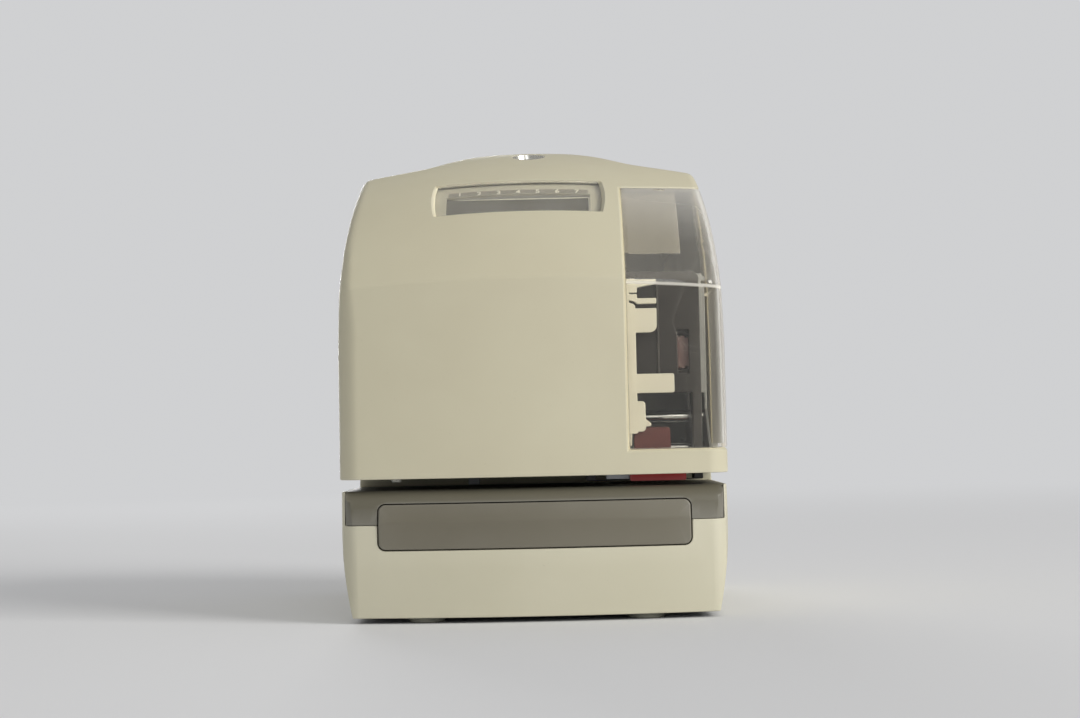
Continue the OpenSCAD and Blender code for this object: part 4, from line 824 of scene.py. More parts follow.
plated = metal("lock_metal", tone(226, 224, 216), (0.2, 0.32))
lining_out = lock_recess - 0.05 * mm
lining_rim = lock_recess - 0.25 * mm
lining_foot = lock_recess - 1.5 * mm
lining_top = -0.3 * mm
lining_low = -3.3 * mm
lining = turned("lining", lock_place, [
    (lining_out, -lock_dish), (lining_out, lining_top), (lining_rim, lining_top),
    (lining_foot, lining_low), (lining_foot, -lock_dish),
], closed=True)
lined = merged("lock_body_lined", [eased("lock_body", 0.2 * mm), lining])
dress(lined, plated, "cover", "lock_metal", "lock_body")
carry_over(["lock_plug"], plated, "lock", "lock_metal", 0.15 * mm)
cam_finish = metal("cam_steel", tone(188, 188, 186), (0.3, 0.5))
carry_over(["lock_cam"], cam_finish, "lock", "cam_steel", 0.2 * mm)
nut_finish = metal("nut_brass", tone(214, 180, 104), (0.2, 0.35))
carry_over(["lock_nut"], nut_finish, "cover", "nut_brass", 0.3 * mm)


def grown(name, finish, make, source=None, **sizes):
    """A plain mesh from a node tree whose named inputs are the piece's sizes."""
    tree = bpy.data.node_groups.new(name, "GeometryNodeTree")
    labels = {}
    tree.interface.new_socket("Geometry", in_out="INPUT", socket_type="NodeSocketGeometry")
    for label, value in sizes.items():
        kind = {int: "NodeSocketInt", float: "NodeSocketFloat"}.get(type(value), "NodeSocketObject")
        labels[label] = tree.interface.new_socket(label, in_out="INPUT", socket_type=kind).identifier
    tree.interface.new_socket("Geometry", in_out="OUTPUT", socket_type="NodeSocketGeometry")
    start = node(tree, "NodeGroupInput", {})
    whole = node(tree, "GeometryNodeRealizeInstances", {0: make(tree, start.outputs)})
    painted = node(tree, "GeometryNodeSetMaterial", {"Geometry": whole, "Material": finish})
    node(tree, "NodeGroupOutput", {0: painted})
    piece = new_piece(name, source or bpy.data.meshes.new(name))
    grower = piece.modifiers.new("grow", "NODES")
    grower.node_group = tree
    for label, value in sizes.items():
        grower[labels[label]] = value
    return plain_copy(piece)


def at_places(tree, given):
    """The tree's shape once at each point, turned by the point's own angles."""
    shape = node(tree, "GeometryNodeObjectInfo", {"Object": given["Shape"]})
    turn = node(tree, "GeometryNodeInputNamedAttribute", {"Name": "turn"}, data_type="FLOAT_VECTOR")
    return node(tree, "GeometryNodeInstanceOnPoints", {
        "Points": given["Geometry"],
        "Instance": shape.outputs["Geometry"],
        "Rotation": node(tree, "FunctionNodeEulerToRotation", {0: turn.outputs["Attribute"]}),
        "Scale": given["Size"],
    })


def laid_out(name, shape, places, turn, finish, size=1.0):
    """Copies of a shape at some places, all turned the same way; the shape itself goes."""
    spots = bpy.data.meshes.new(name)
    spots.from_pydata([tuple(place) for place in places], [], [])
    angles = spots.attributes.new("turn", "FLOAT_VECTOR", "POINT")
    angles.data.foreach_set("vector", [part for _ in places for part in turn])
    bpy.context.view_layer.update()
    piece = grown(name, finish, at_places, spots, Shape=shape, Size=size)
    bpy.data.objects.remove(shape)
    return piece


def screw(radius, height, shank, length):
    """A pan-head screw with a cross in its head, standing on its washer face."""
    outline = [(radius * 0.45, height), (radius * 0.8, height * 0.88), (radius, height * 0.45)]
    head = turned("screw", Matrix(), outline + [(radius, 0), (shank, 0), (shank, -length)], 24)
    near, far, floor_at = radius * 0.13, radius * 0.58, height * 0.45
    return carve(head, [
        block("slot", (-x, -y, floor_at), (x, y, 2 * height)) for x, y in ((near, far), (far, near))
    ])


def loose_boxes(name):
    """The boxes of a node's separate solids."""
    work = bmesh.new()
    work.from_mesh(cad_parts[name].data)
    bmesh.ops.remove_doubles(work, verts=work.verts, dist=same_point)
    left = set(work.verts)
    boxes = []
    while left:
        grow = [left.pop()]
        found = []
        while grow:
            vertex = grow.pop()
            found.append(vertex.co.copy())
            near = {edge.other_vert(vertex) for edge in vertex.link_edges} & left
            left -= near
            grow.extend(near)
        boxes.append([Vector([ends(p[k] for p in found) for k in range(3)]) for ends in (min, max)])
    work.free()
    return boxes


def screw_set(name, sizes, turn, body, seat, least=3 * mm):
    """Screws in place of a node's, each seated by the box of its solid, for heads at least so wide."""
    boxes = [box for box in loose_boxes(name) if box[1].x - box[0].x > least]
    places = [seat((low + high) / 2, low, high) for low, high in boxes]
    shape = screw(*[size * mm for size in sizes])
    piece = laid_out(name[:-1] + "_set", shape, places, turn, screw_finish)
    dress(piece, screw_finish, body, "screw_steel", name)


screw_finish = metal("screw_steel", tone(196, 196, 190), (0.2, 0.4))
screw_set("window_screws", (1.75, 0.95, 0.85, 2.6), (-math.pi / 2, 0, 0), "cover",
          lambda middle, low, high: (middle.x, high.y - 1 * mm, middle.z))

# Base
# The lower housing is moulded in the cover's cream. Its copy is painted slightly paler, a painted light
# for the light thrown up from the floor. A painted bottom plate closes it with four
# screws, and four rubber feet carry it.
# A paler copy of the cover's cream: painted light from the floor below.
floor_lit_cream = moulded("floor_lit_cream", tone(211, 206, 182), tone(206, 201, 176))
carry_over(["base_shell"], floor_lit_cream, "base", "cream_plastic", 0.5 * mm)
painted = moulded("bottom_sheet", tone(126, 126, 124), tone(116, 116, 114),
                  0.8 * mm, 0.01 * mm, (0.45, 0.6))
carry_over(["bottom_plate"], painted, "base", "bottom_sheet", 0.2 * mm)
screw_set("bottom_screws", (2.85, 1.15, 1.4, 9), (math.pi, 0, 0), "base",
          lambda middle, low, high: (middle.x, middle.y, low.z + 1.2 * mm))


def rubber(name, colour, grain=0.5 * mm):
    """Matt rubber with a fine open grain."""
    finish, tree, shader, place = finish_of(name)
    clouds = noise(tree, place, 4 * mm, 3)
    tint = blend(tree, spread(tree, clouds, 0, 1), colour, dimmed(colour, 1.35))
    fill(shader, {"Base Color": tint})
    fill(shader, {"Roughness": spread(tree, clouds, 0.7, 0.9)})
    raised(tree, shader, noise(tree, place, grain), 0.5, 0.03 * mm)
    return finish


carry_over(["rubber_feet"], rubber("foot_rubber", tone(116, 116, 106)), "base", "foot_rubber", 0.4 * mm)

# Paper table
# A grey moulding with a round lip, let in between the base's side walls, with a rubber platen under
# the print head.
grey = moulded("grey_plastic", tone(119, 114, 99), tone(114, 109, 94), edge_wear_and_highlight=0.5)
# The table is a darker copy of the bar's grey plastic: painted shade for the cover's shadow over the slot.
shaded_table_grey = moulded("shaded_table_grey", tone(109, 105, 90), tone(104, 100, 85))
table_low, table_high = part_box("paper_table")
lip = 8 * mm
apron_lean = math.radians(3)
lean_from = 22 * mm
table_wall = 2.2 * mm
bow_axis = Vector((0, cover_low.y - 1 * mm + front_bow, 0))
platen_low, platen_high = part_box("platen_pad")
opening_half = 66.4 * mm
opening_top = 50.7 * mm
opening_corner = 3.5 * mm
opening_back = -75 * mm
foot_trim = 1 * mm
rear_trim = 10 * mm
bow_steps = 60
bow_reach = 8 * mm
before_all = -120 * mm
above_all = 60 * mm
sweep_depth = 100 * mm
cut_low = 30 * mm
cut_high = 70 * mm
table_half = 82.2 * mm
plan_corner = 9 * mm
corner_axis = (table_half - plan_corner - 0.6 * mm, -95 * mm + plan_corner + 6.6 * mm)
corner_front = -97 * mm


def table_section(inset):
    """The table's outline from its foot over the lip to its rear, as (radius, height)."""
    lean, slant = math.tan(apron_lean), math.cos(apron_lean)
    reach = front_bow + lean_from * lean
    lip_z = table_high.z - lip
    lip_at = reach - lip_z * lean - lip / slant
    foot = table_low.z - (foot_trim if inset else 0)
    rear = bow_axis.y - table_high.y - rear_trim - (foot_trim if inset else 0)
    round_lip = arc((lip_at, lip_z), lip - inset, math.degrees(apron_lean), 90, 16)
    return [(reach - foot * lean - inset / slant, foot), *round_lip, (rear, table_high.z - inset)]


def swept_table():
    """The section turned about the bow's axis, trimmed to the base's side walls."""
    ring = table_section(0) + table_section(table_wall)[::-1]
    span = math.asin((table_high.x + bow_reach) / (front_bow - sweep_depth))
    loops = []
    for i in range(2 * bow_steps + 1):
        angle = span * (i / bow_steps - 1)
        loops.append([(r * math.sin(angle), bow_axis.y - r * math.cos(angle), z) for r, z in ring])
    table = solid_between("table", loops)
    low = (table_low.x, before_all, table_low.z)
    carve(table, [block("limit", low, (table_high.x, table_high.y, above_all))], "INTERSECT")
    edge = table_half + 1 * mm
    plan = [(table_half - plan_corner, corner_front), (edge, corner_front), (edge, corner_axis[1])]
    plan += arc(corner_axis, plan_corner, -90, 0, 24)[::-1]
    outline = [(-opening_half, cut_low), (opening_half, cut_low)]
    cuts = []
    for side, first in ((1, 0), (-1, 90)):
        loops = [[(-side * x, y, z) for x, y in plan] for z in (cut_low, cut_high)]
        cuts.append(solid_between("corner_cut", loops))
        centre = (side * (opening_half - opening_corner), opening_top - opening_corner)
        outline += arc(centre, opening_corner, first, first + 90, 8)
    loops = [[(x, y, z) for x, z in outline] for y in (before_all, opening_back)]
    cuts.append(solid_between("bar_opening", loops))
    cuts.append(block("platen_seat", platen_low, (platen_high.x, platen_high.y, above_all)))
    return carve(table, cuts)


dress(swept_table(), shaded_table_grey, "base", "grey_plastic", "paper_table", angle=40)
carry_over(["platen_pad"], rubber("platen_rubber", tone(52, 52, 52)), "base", "platen_rubber", 0.2 * mm)

# Push bar
# A wide grey bar in the base's front that the user presses. Two coil springs between it and a
# bracket push it back, and its pusher works a switch.
spring_steel = metal("spring_steel", tone(170, 168, 162), (0.25, 0.4))
dress(eased("push_bar", 0.7 * mm, 3, 8), grey, "bar", "grey_plastic", "push_bar", angle=50)


def coil_pair(tree, given):
    """A spiral along Y from each point, swept by the wire's round section."""
    sizes = {"Resolution": 24, "Rotations": given["Turns"], "Height": given["Length"]}
    sizes.update({"Start Radius": given["Radius"], "End Radius": given["Radius"]})
    return node(tree, "GeometryNodeInstanceOnPoints", {
        "Points": given["Geometry"],
        "Instance": node(tree, "GeometryNodeCurveToMesh", {
            "Curve": node(tree, "GeometryNodeCurveSpiral", sizes),
            "Profile Curve": node(tree, "GeometryNodeCurvePrimitiveCircle", {
                "Resolution": 8, "Radius": given["Wire"],
            }),
            "Fill Caps": True,
        }),
        "Rotation": (-math.pi / 2, 0, 0),
    })


wire_half = 0.4 * mm
coils = loose_boxes("bar_springs")
coil_radius = (coils[0][1].x - coils[0][0].x) / 2 - wire_half
feet = bpy.data.meshes.new("spring_feet")
feet.from_pydata([((a.x + b.x) / 2, a.y + wire_half, (a.z + b.z) / 2) for a, b in coils], [], [])
coil_length = coils[0][1].y - coils[0][0].y - 2 * wire_half
springs = grown("spring_pair", spring_steel, coil_pair, feet,
                Wire=wire_half, Turns=7.0, Radius=coil_radius, Length=coil_length)
spring_bend = ("base", "bar", (0, coils[0][1].y - wire_half, 0), (0, coils[0][0].y + wire_half, 0))
dress(springs, spring_steel, spring_bend, "spring_steel", "bar_springs", angle=60)
bracket_grey = moulded("bracket_grey", tone(110, 110, 110), tone(104, 104, 104))
carry_over(["bar_bracket"], bracket_grey, "base", "bracket_grey", 0.3 * mm)
black = moulded("black_plastic", tone(44, 44, 45), tone(38, 38, 39), rough=(0.35, 0.5), edge_wear_and_highlight=0.15)
carry_over(["bar_switch"], black, "base", "black_plastic", 0.3 * mm)
red = moulded("plunger_red", tone(168, 52, 42), tone(158, 46, 38))
carry_over(["switch_plunger"], red, "bar", "plunger_red", 0.3 * mm)

# Power inlet and board
# A round low-voltage socket in the rear wall, soldered to a small green board on the bottom plate's
# four posts.
track_step = 4 * mm
carry_over(["power_inlet"], black, "base", "black_plastic", 0.3 * mm)


def solder_mask(name):
    """Green board lacquer over copper tracks that show through as paler lines."""
    finish, tree, shader, place = finish_of(name)
    tracks = node(tree, "ShaderNodeTexBrick", {
        "Vector": mapped(tree, place, Rotation=(math.pi / 4, 0, math.pi / 4)),
        "Scale": 1 / track_step,
        "Mortar Size": 0.06,
        "Mortar": tone(62, 138, 92),
        "Color1": tone(38, 104, 66),
        "Color2": tone(34, 96, 60),
    })
    fill(shader, {"Base Color": tracks})
    fill(shader, {"Roughness": spread(tree, noise(tree, place, 3 * mm), 0.25, 0.4)})
    raised(tree, shader, noise(tree, place, 0.5 * mm), 0.3, 0.01 * mm)
    return finish


green = solder_mask("board_green")
carry_over(["power_board"], green, "base", "board_green", 0.15 * mm)

# Chassis
# Folded and punched plates of zinc-plated steel: two side plates, the slot's ceiling, the rear tie
# plate, the roof plate and the catch for the lock, all screwed to the base's deck.
zinc = metal("sheet_steel", tone(172, 173, 172), (0.34, 0.5), (1, 6, 1))
chassis = ["left_side_plate", "right_side_plate", "slot_ceiling", "rear_tie_plate", "roof_plate",
           "lock_catch", "print_frame", "motor_bracket", "lever_ears", "idler_post"]
carry_over(chassis, zinc, "base", "sheet_steel", 0.2 * mm)
screw_set("chassis_screws", (2.7, 1.6, 1.4, 8), (0, 0, 0), "base",
          lambda middle, low, high: (middle.x, middle.y, high.z - 1.6 * mm))

# Carriage and print head
# A black carriage slides on two ground rods and carries a finned dot head. A flat flex cable loops
# from it back to the frame.
core_rows = 314
ground = metal("rod_steel", tone(222, 222, 220), (0.08, 0.18), (0.1, 1, 1))
carry_over(["guide_rods", "lever_pin"], ground, "base", "rod_steel", 0.3 * mm)
carry_over(["print_carriage"], black, "carriage", "black_plastic", 0.4 * mm)
cast_metal = metal("head_metal", tone(178, 180, 182), (0.35, 0.5))
carry_over(["print_head"], cast_metal, "carriage", "head_metal", 0.25 * mm)


def flat_cable(name):
    """White film over a row of flat copper conductors."""
    finish, tree, shader, place = finish_of(name)
    rows = {"Vector": place, "Scale": core_rows}
    bands = node(tree, "ShaderNodeTexWave", rows, bands_direction="Y").outputs["Fac"]
    cores = spread(tree, bands, 0, 1, 0.35, 0.5)
    tint = blend(tree, cores, tone(228, 224, 212), tone(190, 176, 152))
    fill(shader, {"Base Color": tint})
    fill(shader, {"Roughness": spread(tree, noise(tree, place, 4 * mm), 0.3, 0.42)})
    raised(tree, shader, bands, 0.4, 0.02 * mm)
    return finish


cable_low, cable_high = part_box("head_cable")
cable_bend = ("base", "carriage", (0, 0, cable_high.z - 0.3 * mm), (0, 0, cable_low.z + 0.3 * mm))
carry_over(["head_cable"], flat_cable("flex_white"), cable_bend, "flex_white", 0)

# Drive
# A motor on a bracket turns a toothed pulley, and a rubber belt runs from it round an idler.
motor_metal = metal("motor_metal", tone(150, 150, 150), (0.3, 0.45))
carry_over(["carriage_motor"], motor_metal, "base", "motor_metal", 0.4 * mm)
pulley_white = moulded("pulley_white", tone(228, 227, 218), tone(222, 221, 212))
carry_over(["motor_pulley"], pulley_white, "motor_pulley", "pulley_white", 0.2 * mm)
carry_over(["idler_pulley"], pulley_white, "idler_pulley", "pulley_white", 0.2 * mm)


def together(tree, *parts):
    """Several geometries as one."""
    whole = node(tree, "GeometryNodeJoinGeometry", {})
    for part in parts:
        fill(whole, {0: part})
    return whole


def toothed_band(tree, given):
    """A flat band swept along a closed path, with a rib at every pitch on its inner side."""
    path = node(tree, "GeometryNodeMeshToCurve", {0: given["Geometry"]})
    upright = node(tree, "GeometryNodeSetCurveNormal", {"Curve": path}, mode="Z_UP")
    section = {"Width": given["Thickness"], "Height": given["Width"]}
    band = node(tree, "GeometryNodeCurveToMesh", {
        "Curve": upright,
        "Profile Curve": node(tree, "GeometryNodeCurvePrimitiveQuadrilateral", section),
    })
    size = {"X": given["Rib"], "Y": given["Width"], "Z": given["Rib"]}
    steps_on = {"Curve": upright, "Length": given["Pitch"]}
    spots = node(tree, "GeometryNodeCurveToPoints", steps_on, mode="LENGTH")
    ribs = node(tree, "GeometryNodeInstanceOnPoints", {
        "Points": spots,
        "Instance": node(tree, "GeometryNodeMeshCube", {"Size": node(tree, "ShaderNodeCombineXYZ", size)}),
        "Rotation": spots.outputs["Rotation"],
    })
    return together(tree, band, ribs)


belt_thick = 0.8 * mm
belt_low, belt_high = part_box("drive_belt")
belt_turn = (belt_high.y - belt_low.y) / 2 - belt_thick / 2
belt_mid = (belt_low + belt_high) / 2
half_run = (belt_high.x - belt_low.x) / 2 - belt_turn - belt_thick / 2
loop = []
for side, first in ((1, -90), (-1, 90)):
    centre = (belt_mid.x + side * half_run, belt_mid.y)
    loop += [(x, y, belt_mid.z) for x, y in arc(centre, belt_turn, first, first + 180, 24)]
path = bpy.data.meshes.new("belt_path")
path.from_pydata(loop, [(i, (i + 1) % len(loop)) for i in range(len(loop))], [])
belt_rubber = rubber("belt_rubber", tone(40, 40, 40))
belt = grown("toothed_belt", belt_rubber, toothed_band, path, Thickness=belt_thick,
             Width=belt_high.z - belt_low.z, Pitch=2.03 * mm, Rib=1.0 * mm)
dress(belt, belt_rubber, "base", "belt_rubber", "drive_belt")

# Ribbon
# A dark cassette stands behind a white comb-shaped bracket. A motor behind the print frame turns the
# wheel that draws the inked ribbon under the head, and a red mask keeps the paper off it.
mask_darkening_heights = (66 * mm, 71 * mm)
white = moulded("white_plastic", tone(236, 234, 222), tone(231, 229, 216))
carry_over(["ribbon_bracket"], white, "base", "white_plastic", 0.3 * mm)
cassette_finish = moulded("cassette_plastic", tone(36, 31, 28), tone(31, 27, 25), edge_wear_and_highlight=0.12)
carry_over(["ribbon_cassette"], cassette_finish, "base", "cassette_plastic", 0.4 * mm)
wheel_finish = moulded("wheel_plastic", tone(104, 72, 68), tone(90, 52, 50))
carry_over(["ribbon_wheel"], wheel_finish, "ribbon_wheel", "wheel_plastic", 0.2 * mm)
carry_over(["ribbon_motor"], motor_metal, "base", "motor_metal", 0.4 * mm)
carry_over(["ink_ribbon"], rubber("ribbon_cloth", tone(46, 34, 60)), "base", "ribbon_cloth", 0)


def stained_red(name):
    """Red plastic that turns dark brown towards its top."""
    finish = moulded(name, tone(182, 34, 28), tone(170, 30, 26))
    tree = finish.node_tree
    shader = tree.nodes["Principled BSDF"]
    source = shader.inputs["Base Color"].links[0].from_socket
    place = next(found for found in tree.nodes if found.type == "TEX_COORD").outputs["Object"]
    height = node(tree, "ShaderNodeSeparateXYZ", {"Vector": place}).outputs["Z"]
    share = spread(tree, height, 0, 0.85, *mask_darkening_heights)
    fill(shader, {"Base Color": blend(tree, share, source, tone(66, 34, 27))})
    return finish


carry_over(["ribbon_mask"], stained_red("red_plastic"), "base", "red_plastic", 0.3 * mm)

# Paper lever and sensors
# A grey lever on a pin dips into the slot and lifts its flag through a light gate when paper pushes
# it. A small white lens looks down through the ceiling.
lever_finish = moulded("lever_grey", tone(134, 136, 138), tone(128, 130, 132))
carry_over(["paper_lever"], lever_finish, "lever", "lever_grey", 0.3 * mm)
carry_over(["lever_sensor"], black, "base", "black_plastic", 0.3 * mm)
carry_over(["paper_sensor"], white, "base", "white_plastic", 0.3 * mm)

# Display
# A pale housing under the crown holds a grey mask, the display and three setting buttons. The mask's
# opening has a pale sloping edge down to the glass, and a printed row of day numbers stands above it.
# Its edges are paled strongly: rubbed wear, and a painted highlight along the housing's bright edge.
housing_finish = moulded("housing_grey", tone(120, 117, 108), tone(115, 112, 103), edge_wear_and_highlight=0.8)
carry_over(["display_housing"], housing_finish, "base", "housing_grey", 0.3 * mm)
mask_top = 3.4 * mm
mask_foot = 4.35 * mm
glass_half = 30.85 * mm
glass_low = -9.65 * mm
glass_high = 3.35 * mm
glass_level = -5.75 * mm
glass_under = 2 * mm
glass_thick = 3.5 * mm
dot_step = 0.6 * mm
edge_wide = 0.7 * mm
row_low = 4.25 * mm
row_high = 7.75 * mm
mask_finish = moulded("mask_grey", tone(170, 165, 148), tone(165, 160, 143), edge_wear_and_highlight=0.1)
mask = eased("display_mask", 0)
opening = block(
    "mask_opening",
    (-glass_half - edge_wide, glass_low - edge_wide, -15 * mm),
    (glass_half + edge_wide, glass_high + edge_wide, 15 * mm),
    display_place,
)
dress(carve(mask, [opening]), mask_finish, "base", "mask_grey", "display_mask")


def sloping_edge():
    """Four pale sloping faces from the mask's opening down to the glass."""
    corners = [(-1, 0), (1, 0), (1, 1), (-1, 1)]
    rings = []
    steep = [(edge_wide, None), (0, glass_level), (-0.02 * mm, glass_level), (edge_wide + 0.02 * mm, None)]
    for grow, drop in steep:
        flat = []
        for side, up in corners:
            flat.append((side * (glass_half + grow), glass_high + grow if up else glass_low - grow))
        levels = face_under(display_place, flat, cover_distance, mask_foot)
        if drop is not None:
            levels = [drop] * len(flat)
        rings.append([display_place @ Vector((x, y, z)) for (x, y), z in zip(flat, levels)])
    return solid_between("glass_edge", rings, True)


edge_finish = moulded("edge_pale", tone(232, 228, 212), tone(228, 223, 206))
dress(sloping_edge(), edge_finish, "base", "mask_grey")


def segment_glass(name):
    """Blank display glass: a greenish grey field with the faint grid of its dots."""
    finish, tree, shader, place = finish_of(name)
    dots = node(tree, "ShaderNodeTexBrick", {
        "Vector": mapped(tree, place, Rotation=(-math.radians(display_angle), 0, 0)),
        "Scale": 1 / dot_step,
        "Row Height": 1,
        "Brick Width": 1,
        "Mortar Size": 0.08,
        "Color1": tone(74, 71, 61),
        "Color2": tone(72, 69, 59),
        "Mortar": tone(80, 77, 67),
    }, offset=0)
    fill(shader, {"Base Color": dots})
    fill(shader, {"Roughness": spread(tree, noise(tree, place, 8 * mm), 0.1, 0.2)})
    return finish


glass = block(
    "glass",
    (-glass_half - glass_under, glass_low - glass_under, glass_level - glass_thick),
    (glass_half + glass_under, glass_high + glass_under, glass_level),
    display_place,
)
display_finish = segment_glass("display_glass")
dress(glass, display_finish, "base", "display_glass")
dress(eased("display_panel", 0.1 * mm), display_finish, "base", "display_glass", "display_panel")


def day_numbers():
    """The numbers 1 to 7 in a row, laid on the mask."""
    pitch = 8.6 * mm
    size = 3.9 * mm
    work = bmesh.new()
    for day in range(1, 8):
        curve = bpy.data.curves.new("day", "FONT")
        curve.body = str(day)
        curve.size = size
        curve.align_x = "CENTER"
        curve.extrude = 0.02 * mm
        curve.offset = 0.12 * mm
        text = new_piece("day", curve)
        bpy.context.view_layer.update()
        shown = text.evaluated_get(bpy.context.evaluated_depsgraph_get())
        mesh = bpy.data.meshes.new_from_object(shown)
        across = (day - 4) * pitch
        at = (across, (row_low + row_high) / 2)
        height = face_under(display_place, [at], cover_distance, mask_top)[0]
        lean = Matrix.Rotation(math.asin(across / crown_side_radius), 4, "Y")
        seat = Matrix.Translation((across, row_low + 0.4 * mm, height + 0.08 * mm))
        mesh.transform(display_place @ seat @ lean)
        work.from_mesh(mesh)
        bpy.data.objects.remove(text)
    return new_piece("day_numbers", mesh_of(work, "day_numbers"))


row = plate_on(
    "number_row", display_place, [row_low, (row_low + row_high) / 2, row_high],
    lambda y: glass_half, cover_distance, mask_top - 0.04 * mm, mask_top + 0.2 * mm,
)
dress(row, moulded("row_grey", tone(112, 107, 94), tone(107, 102, 89)), "base", "mask_grey")
number_finish = moulded("number_pale", tone(206, 201, 184), tone(201, 196, 179))
dress(day_numbers(), number_finish, "base", "mask_grey")
carry_over(["button_board"], green, "base", "board_green", 0.1 * mm)
button_finish = moulded("button_grey", tone(112, 112, 114), tone(106, 106, 108))
for number in (1, 2, 3):
    carry_over([f"setting_button_{number}"], button_finish, f"button_{number}", "button_grey", 0.4 * mm)

# Main board
# A green board stands on four spacers behind the tie plate, with its chips, connectors and
# capacitors, and a backup battery in a clip.
carry_over(["main_board"], green, "base", "board_green", 0.15 * mm)
chip_finish = moulded("chip_black", tone(52, 52, 52), tone(46, 46, 46), edge_wear_and_highlight=0.1)
board_low, board_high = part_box("main_board")


def board_place(x, z, turn=0.0):
    """A frame on the board's rear face, X across, Y up and Z away from the board."""
    flat = Matrix(((1, 0, 0, x), (0, 0, 1, board_high.y), (0, -1, 0, board_low.z + z), (0, 0, 0, 1)))
    return flat @ Matrix.Rotation(math.radians(turn), 4, "Z")


def in_line(tree, given, shape, turn=0.0):
    """A shape at each point of a line along X, a pitch apart."""
    step = node(tree, "ShaderNodeCombineXYZ", {"X": given["Pitch"]})
    line = node(tree, "GeometryNodeMeshLine", {"Count": given["Count"], "Offset": step})
    sockets = {"Points": line, "Instance": shape, "Rotation": (0, 0, turn)}
    return node(tree, "GeometryNodeInstanceOnPoints", sockets)


def leg_rows(tree, given):
    """Two facing rows of bent legs, a pitch apart, each a foot on the board and a rise to the chip."""
    bars = []
    for length, rise, out, up in ((1.3, 0.2, 0.75, 0.1), (0.25, 1.1, 0.15, 0.65)):
        bar = node(tree, "GeometryNodeMeshCube", {"Size": (0.4 * mm, length * mm, rise * mm)})
        shift = {"Geometry": bar, "Translation": (0, out * mm, up * mm)}
        bars.append(node(tree, "GeometryNodeTransform", shift))
    leg = together(tree, *bars)
    rows = []
    for side, turn in ((1, 0), (-1, math.pi)):
        away = node(tree, "ShaderNodeCombineXYZ", {
            "X": reckoned(tree, "MULTIPLY", given["Row"], -0.5),
            "Y": reckoned(tree, "MULTIPLY", given["Spread"], side * 0.5),
        })
        shift = {"Geometry": in_line(tree, given, leg, turn), "Translation": away}
        rows.append(node(tree, "GeometryNodeTransform", shift))
    return together(tree, *rows)


leg_finish = metal("leg_metal", tone(200, 200, 196), (0.25, 0.4))


def legs(place, count, pitch, spread_wide):
    """Both rows of a chip's legs at a place on the board."""
    piece = grown("chip_legs", leg_finish, leg_rows, None, Count=count, Pitch=pitch,
                  Row=pitch * (count - 1), Spread=spread_wide)
    piece.data.transform(place)
    return piece


def soft_block(name, place, size, height, ease):
    """A moulded block on the board with its edges eased."""
    half = (size[0] / 2, size[1] / 2)
    piece = block(name, (-half[0], -half[1], 0.25 * mm), (half[0], half[1], height), place)
    work = bmesh.new()
    work.from_mesh(piece.data)
    bmesh.ops.bevel(work, geom=work.edges, offset=ease, segments=2, affect="EDGES", profile=0.5)
    piece.data = mesh_of(work, name)
    return piece


chips = []
chip_legs = []
leg_share = 0.9
leg_under = 0.4 * mm
chip_sizes = ((-28, 50, 22, 22, 2, 22), (7.5, 54, 15, 6, 2.2, 10), (29.5, 54, 15, 6, 2.2, 10))
for x, z, wide, tall, high, count in chip_sizes:
    place = board_place(x * mm, z * mm)
    chips.append(soft_block("chip", place, (wide * mm, tall * mm), high * mm, 0.3 * mm))
    pitch = wide * mm * leg_share / (count - 1)
    for turn in (0, 90) if wide == tall else (0,):
        place = board_place(x * mm, z * mm, turn)
        chip_legs.append(legs(place, count, pitch, tall * mm - leg_under))
relay_place = board_place(49 * mm, 55 * mm)
relay_size = (10 * mm, 30 * mm)
relay_high = 9 * mm
chips.append(soft_block("relay", relay_place, relay_size, relay_high, 0.6 * mm))
dress(merged("chips", chips), chip_finish, "base", "chip_black", "board_parts")
dress(merged("chip_leg_rows", chip_legs), leg_finish, "base", "screw_steel")


def pin_row(tree, given):
    """A row of square pins, a pitch apart."""
    pin = node(tree, "GeometryNodeMeshCube", {"Size": (0.64 * mm, 0.64 * mm, 5 * mm)})
    return in_line(tree, given, pin)


headers = []
pins = []
header_size = (14 * mm, 5 * mm)
header_high = 7 * mm
header_up = 76.5 * mm
for across in (-37, -17, 3, 23):
    place = board_place(across * mm, header_up)
    header = soft_block("header", place, header_size, header_high, 0.25 * mm)
    low, high = Vector((-6.2, -1.7, 1.5)) * mm, Vector((6.2, 1.7, 8)) * mm
    carve(header, [block("socket", low, high, place)])
    headers.append(header)
    row_of_pins = grown("header_pins", leg_finish, pin_row, None, Count=5, Pitch=2.5 * mm)
    row_of_pins.data.transform(place @ Matrix.Translation((-5 * mm, 0, 3.5 * mm)))
    pins.append(row_of_pins)
dress(merged("headers", headers), white, "base", "white_plastic")
dress(merged("header_pin_rows", pins), leg_finish, "base", "screw_steel")


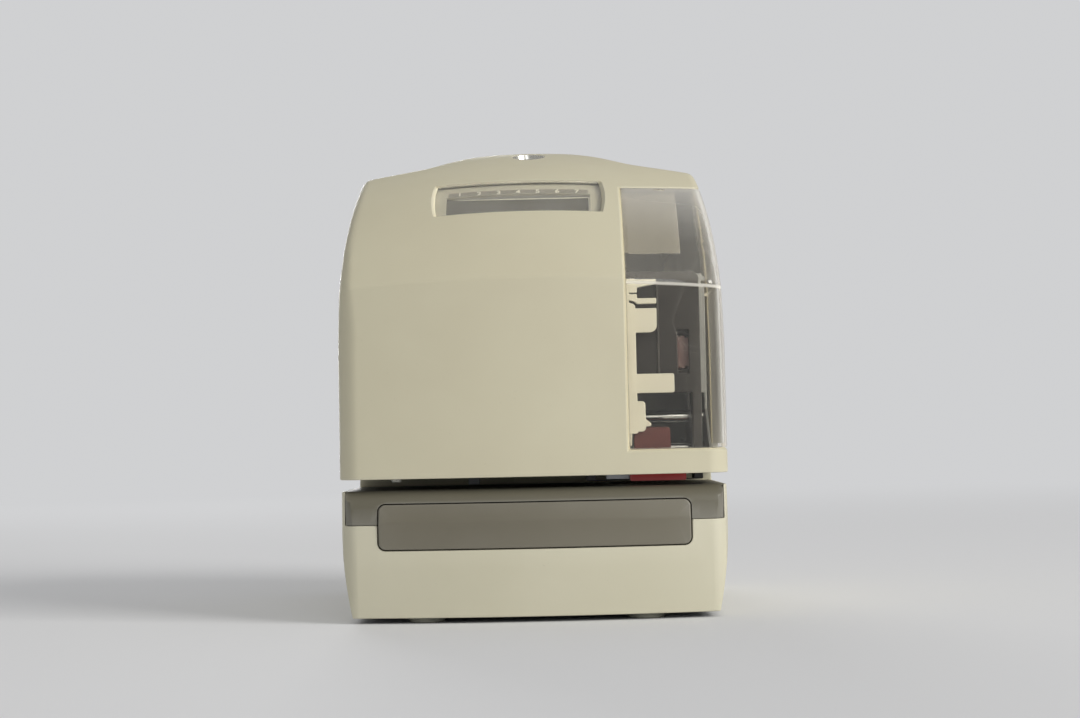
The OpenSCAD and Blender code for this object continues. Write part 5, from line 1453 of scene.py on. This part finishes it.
def can(place, radius, height):
    """A capacitor: a sleeved can drawn in near its foot, with a pressed vent in its top."""
    lower = ((0.3, 0.2), (0, 0.6), (0, 1.2), (0.35, 1.7), (0, 2.2))
    upper = ((0, 0.5), (0.4, 0.1), (0.9, 0.1))
    outline = [(radius - draw * mm, rise * mm) for draw, rise in lower]
    outline += [(radius - draw * mm, height - drop * mm) for draw, drop in upper]
    lid = radius - 0.8 * mm
    top = turned("top", place, [(lid, height - 0.6 * mm), (lid, height - 0.02 * mm)], 48)
    near, far, floor_at = 0.12 * mm, radius * 0.6, height - 0.3 * mm
    carve(top, [
        block("vent", (-x, -y, floor_at), (x, y, height), place) for x, y in ((near, far), (far, near))
    ])
    return turned("sleeve", place, outline, 48), top


can_radius = 4 * mm
can_height = 12 * mm
can_up = 24 * mm
cans = [can(board_place(across * mm, can_up), can_radius, can_height) for across in (-46, -33, -20)]
sleeve_finish = moulded("sleeve_blue", tone(38, 48, 84), tone(34, 43, 76), rough=(0.2, 0.3), edge_wear_and_highlight=0.1)
dress(merged("sleeves", [pair[0] for pair in cans]), sleeve_finish, "base", "battery_blue")
dress(merged("can_tops", [pair[1] for pair in cans]), leg_finish, "base", "motor_metal")

cell_low, cell_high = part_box("backup_battery")
cell_end = 2.4 * mm
cell_radius = 7.3 * mm
axis_at = (board_high.y + 8.5 * mm, board_low.z + 18 * mm)
along = Matrix.Translation((cell_low.x, *axis_at)) @ Matrix.Rotation(math.pi / 2, 4, "Y")
cell_length = cell_high.x - cell_low.x
cell_ease = (0.8 * mm, 0.5 * mm)
cell_far = cell_length - cell_end
clip_wide = 1.8 * mm
clip_deep = 14 * mm
clip_foot = 9 * mm
clip_head = 27 * mm
cap_radius = 3.2 * mm
cap_ends = (1.7 * mm, 2.5 * mm)
cell = turned("cell", along, [
    (cell_radius - cell_ease[0], cell_end), (cell_radius, cell_end + cell_ease[1]),
    (cell_radius, cell_far - cell_ease[1]), (cell_radius - cell_ease[0], cell_far),
])
battery_finish = moulded("battery_blue", tone(52, 84, 140), tone(46, 76, 130), rough=(0.25, 0.35), edge_wear_and_highlight=0.1)
dress(cell, battery_finish, "base", "battery_blue", "backup_battery")
clips = []
for end in (0, cell_length - clip_wide):
    low = (cell_low.x + end, board_high.y, board_low.z + clip_foot)
    high = (cell_low.x + end + clip_wide, board_high.y + clip_deep, board_low.z + clip_head)
    clips.append(block("clip", low, high))
dress(merged("cell_clips", clips), chip_finish, "base", "chip_black")
caps = []
for a, b in (cap_ends, [cell_length - end for end in reversed(cap_ends)]):
    caps.append(turned("cap", along, [(cap_radius, a), (cap_radius, b)], 48))
dress(merged("cell_caps", caps), leg_finish, "base", "motor_metal")
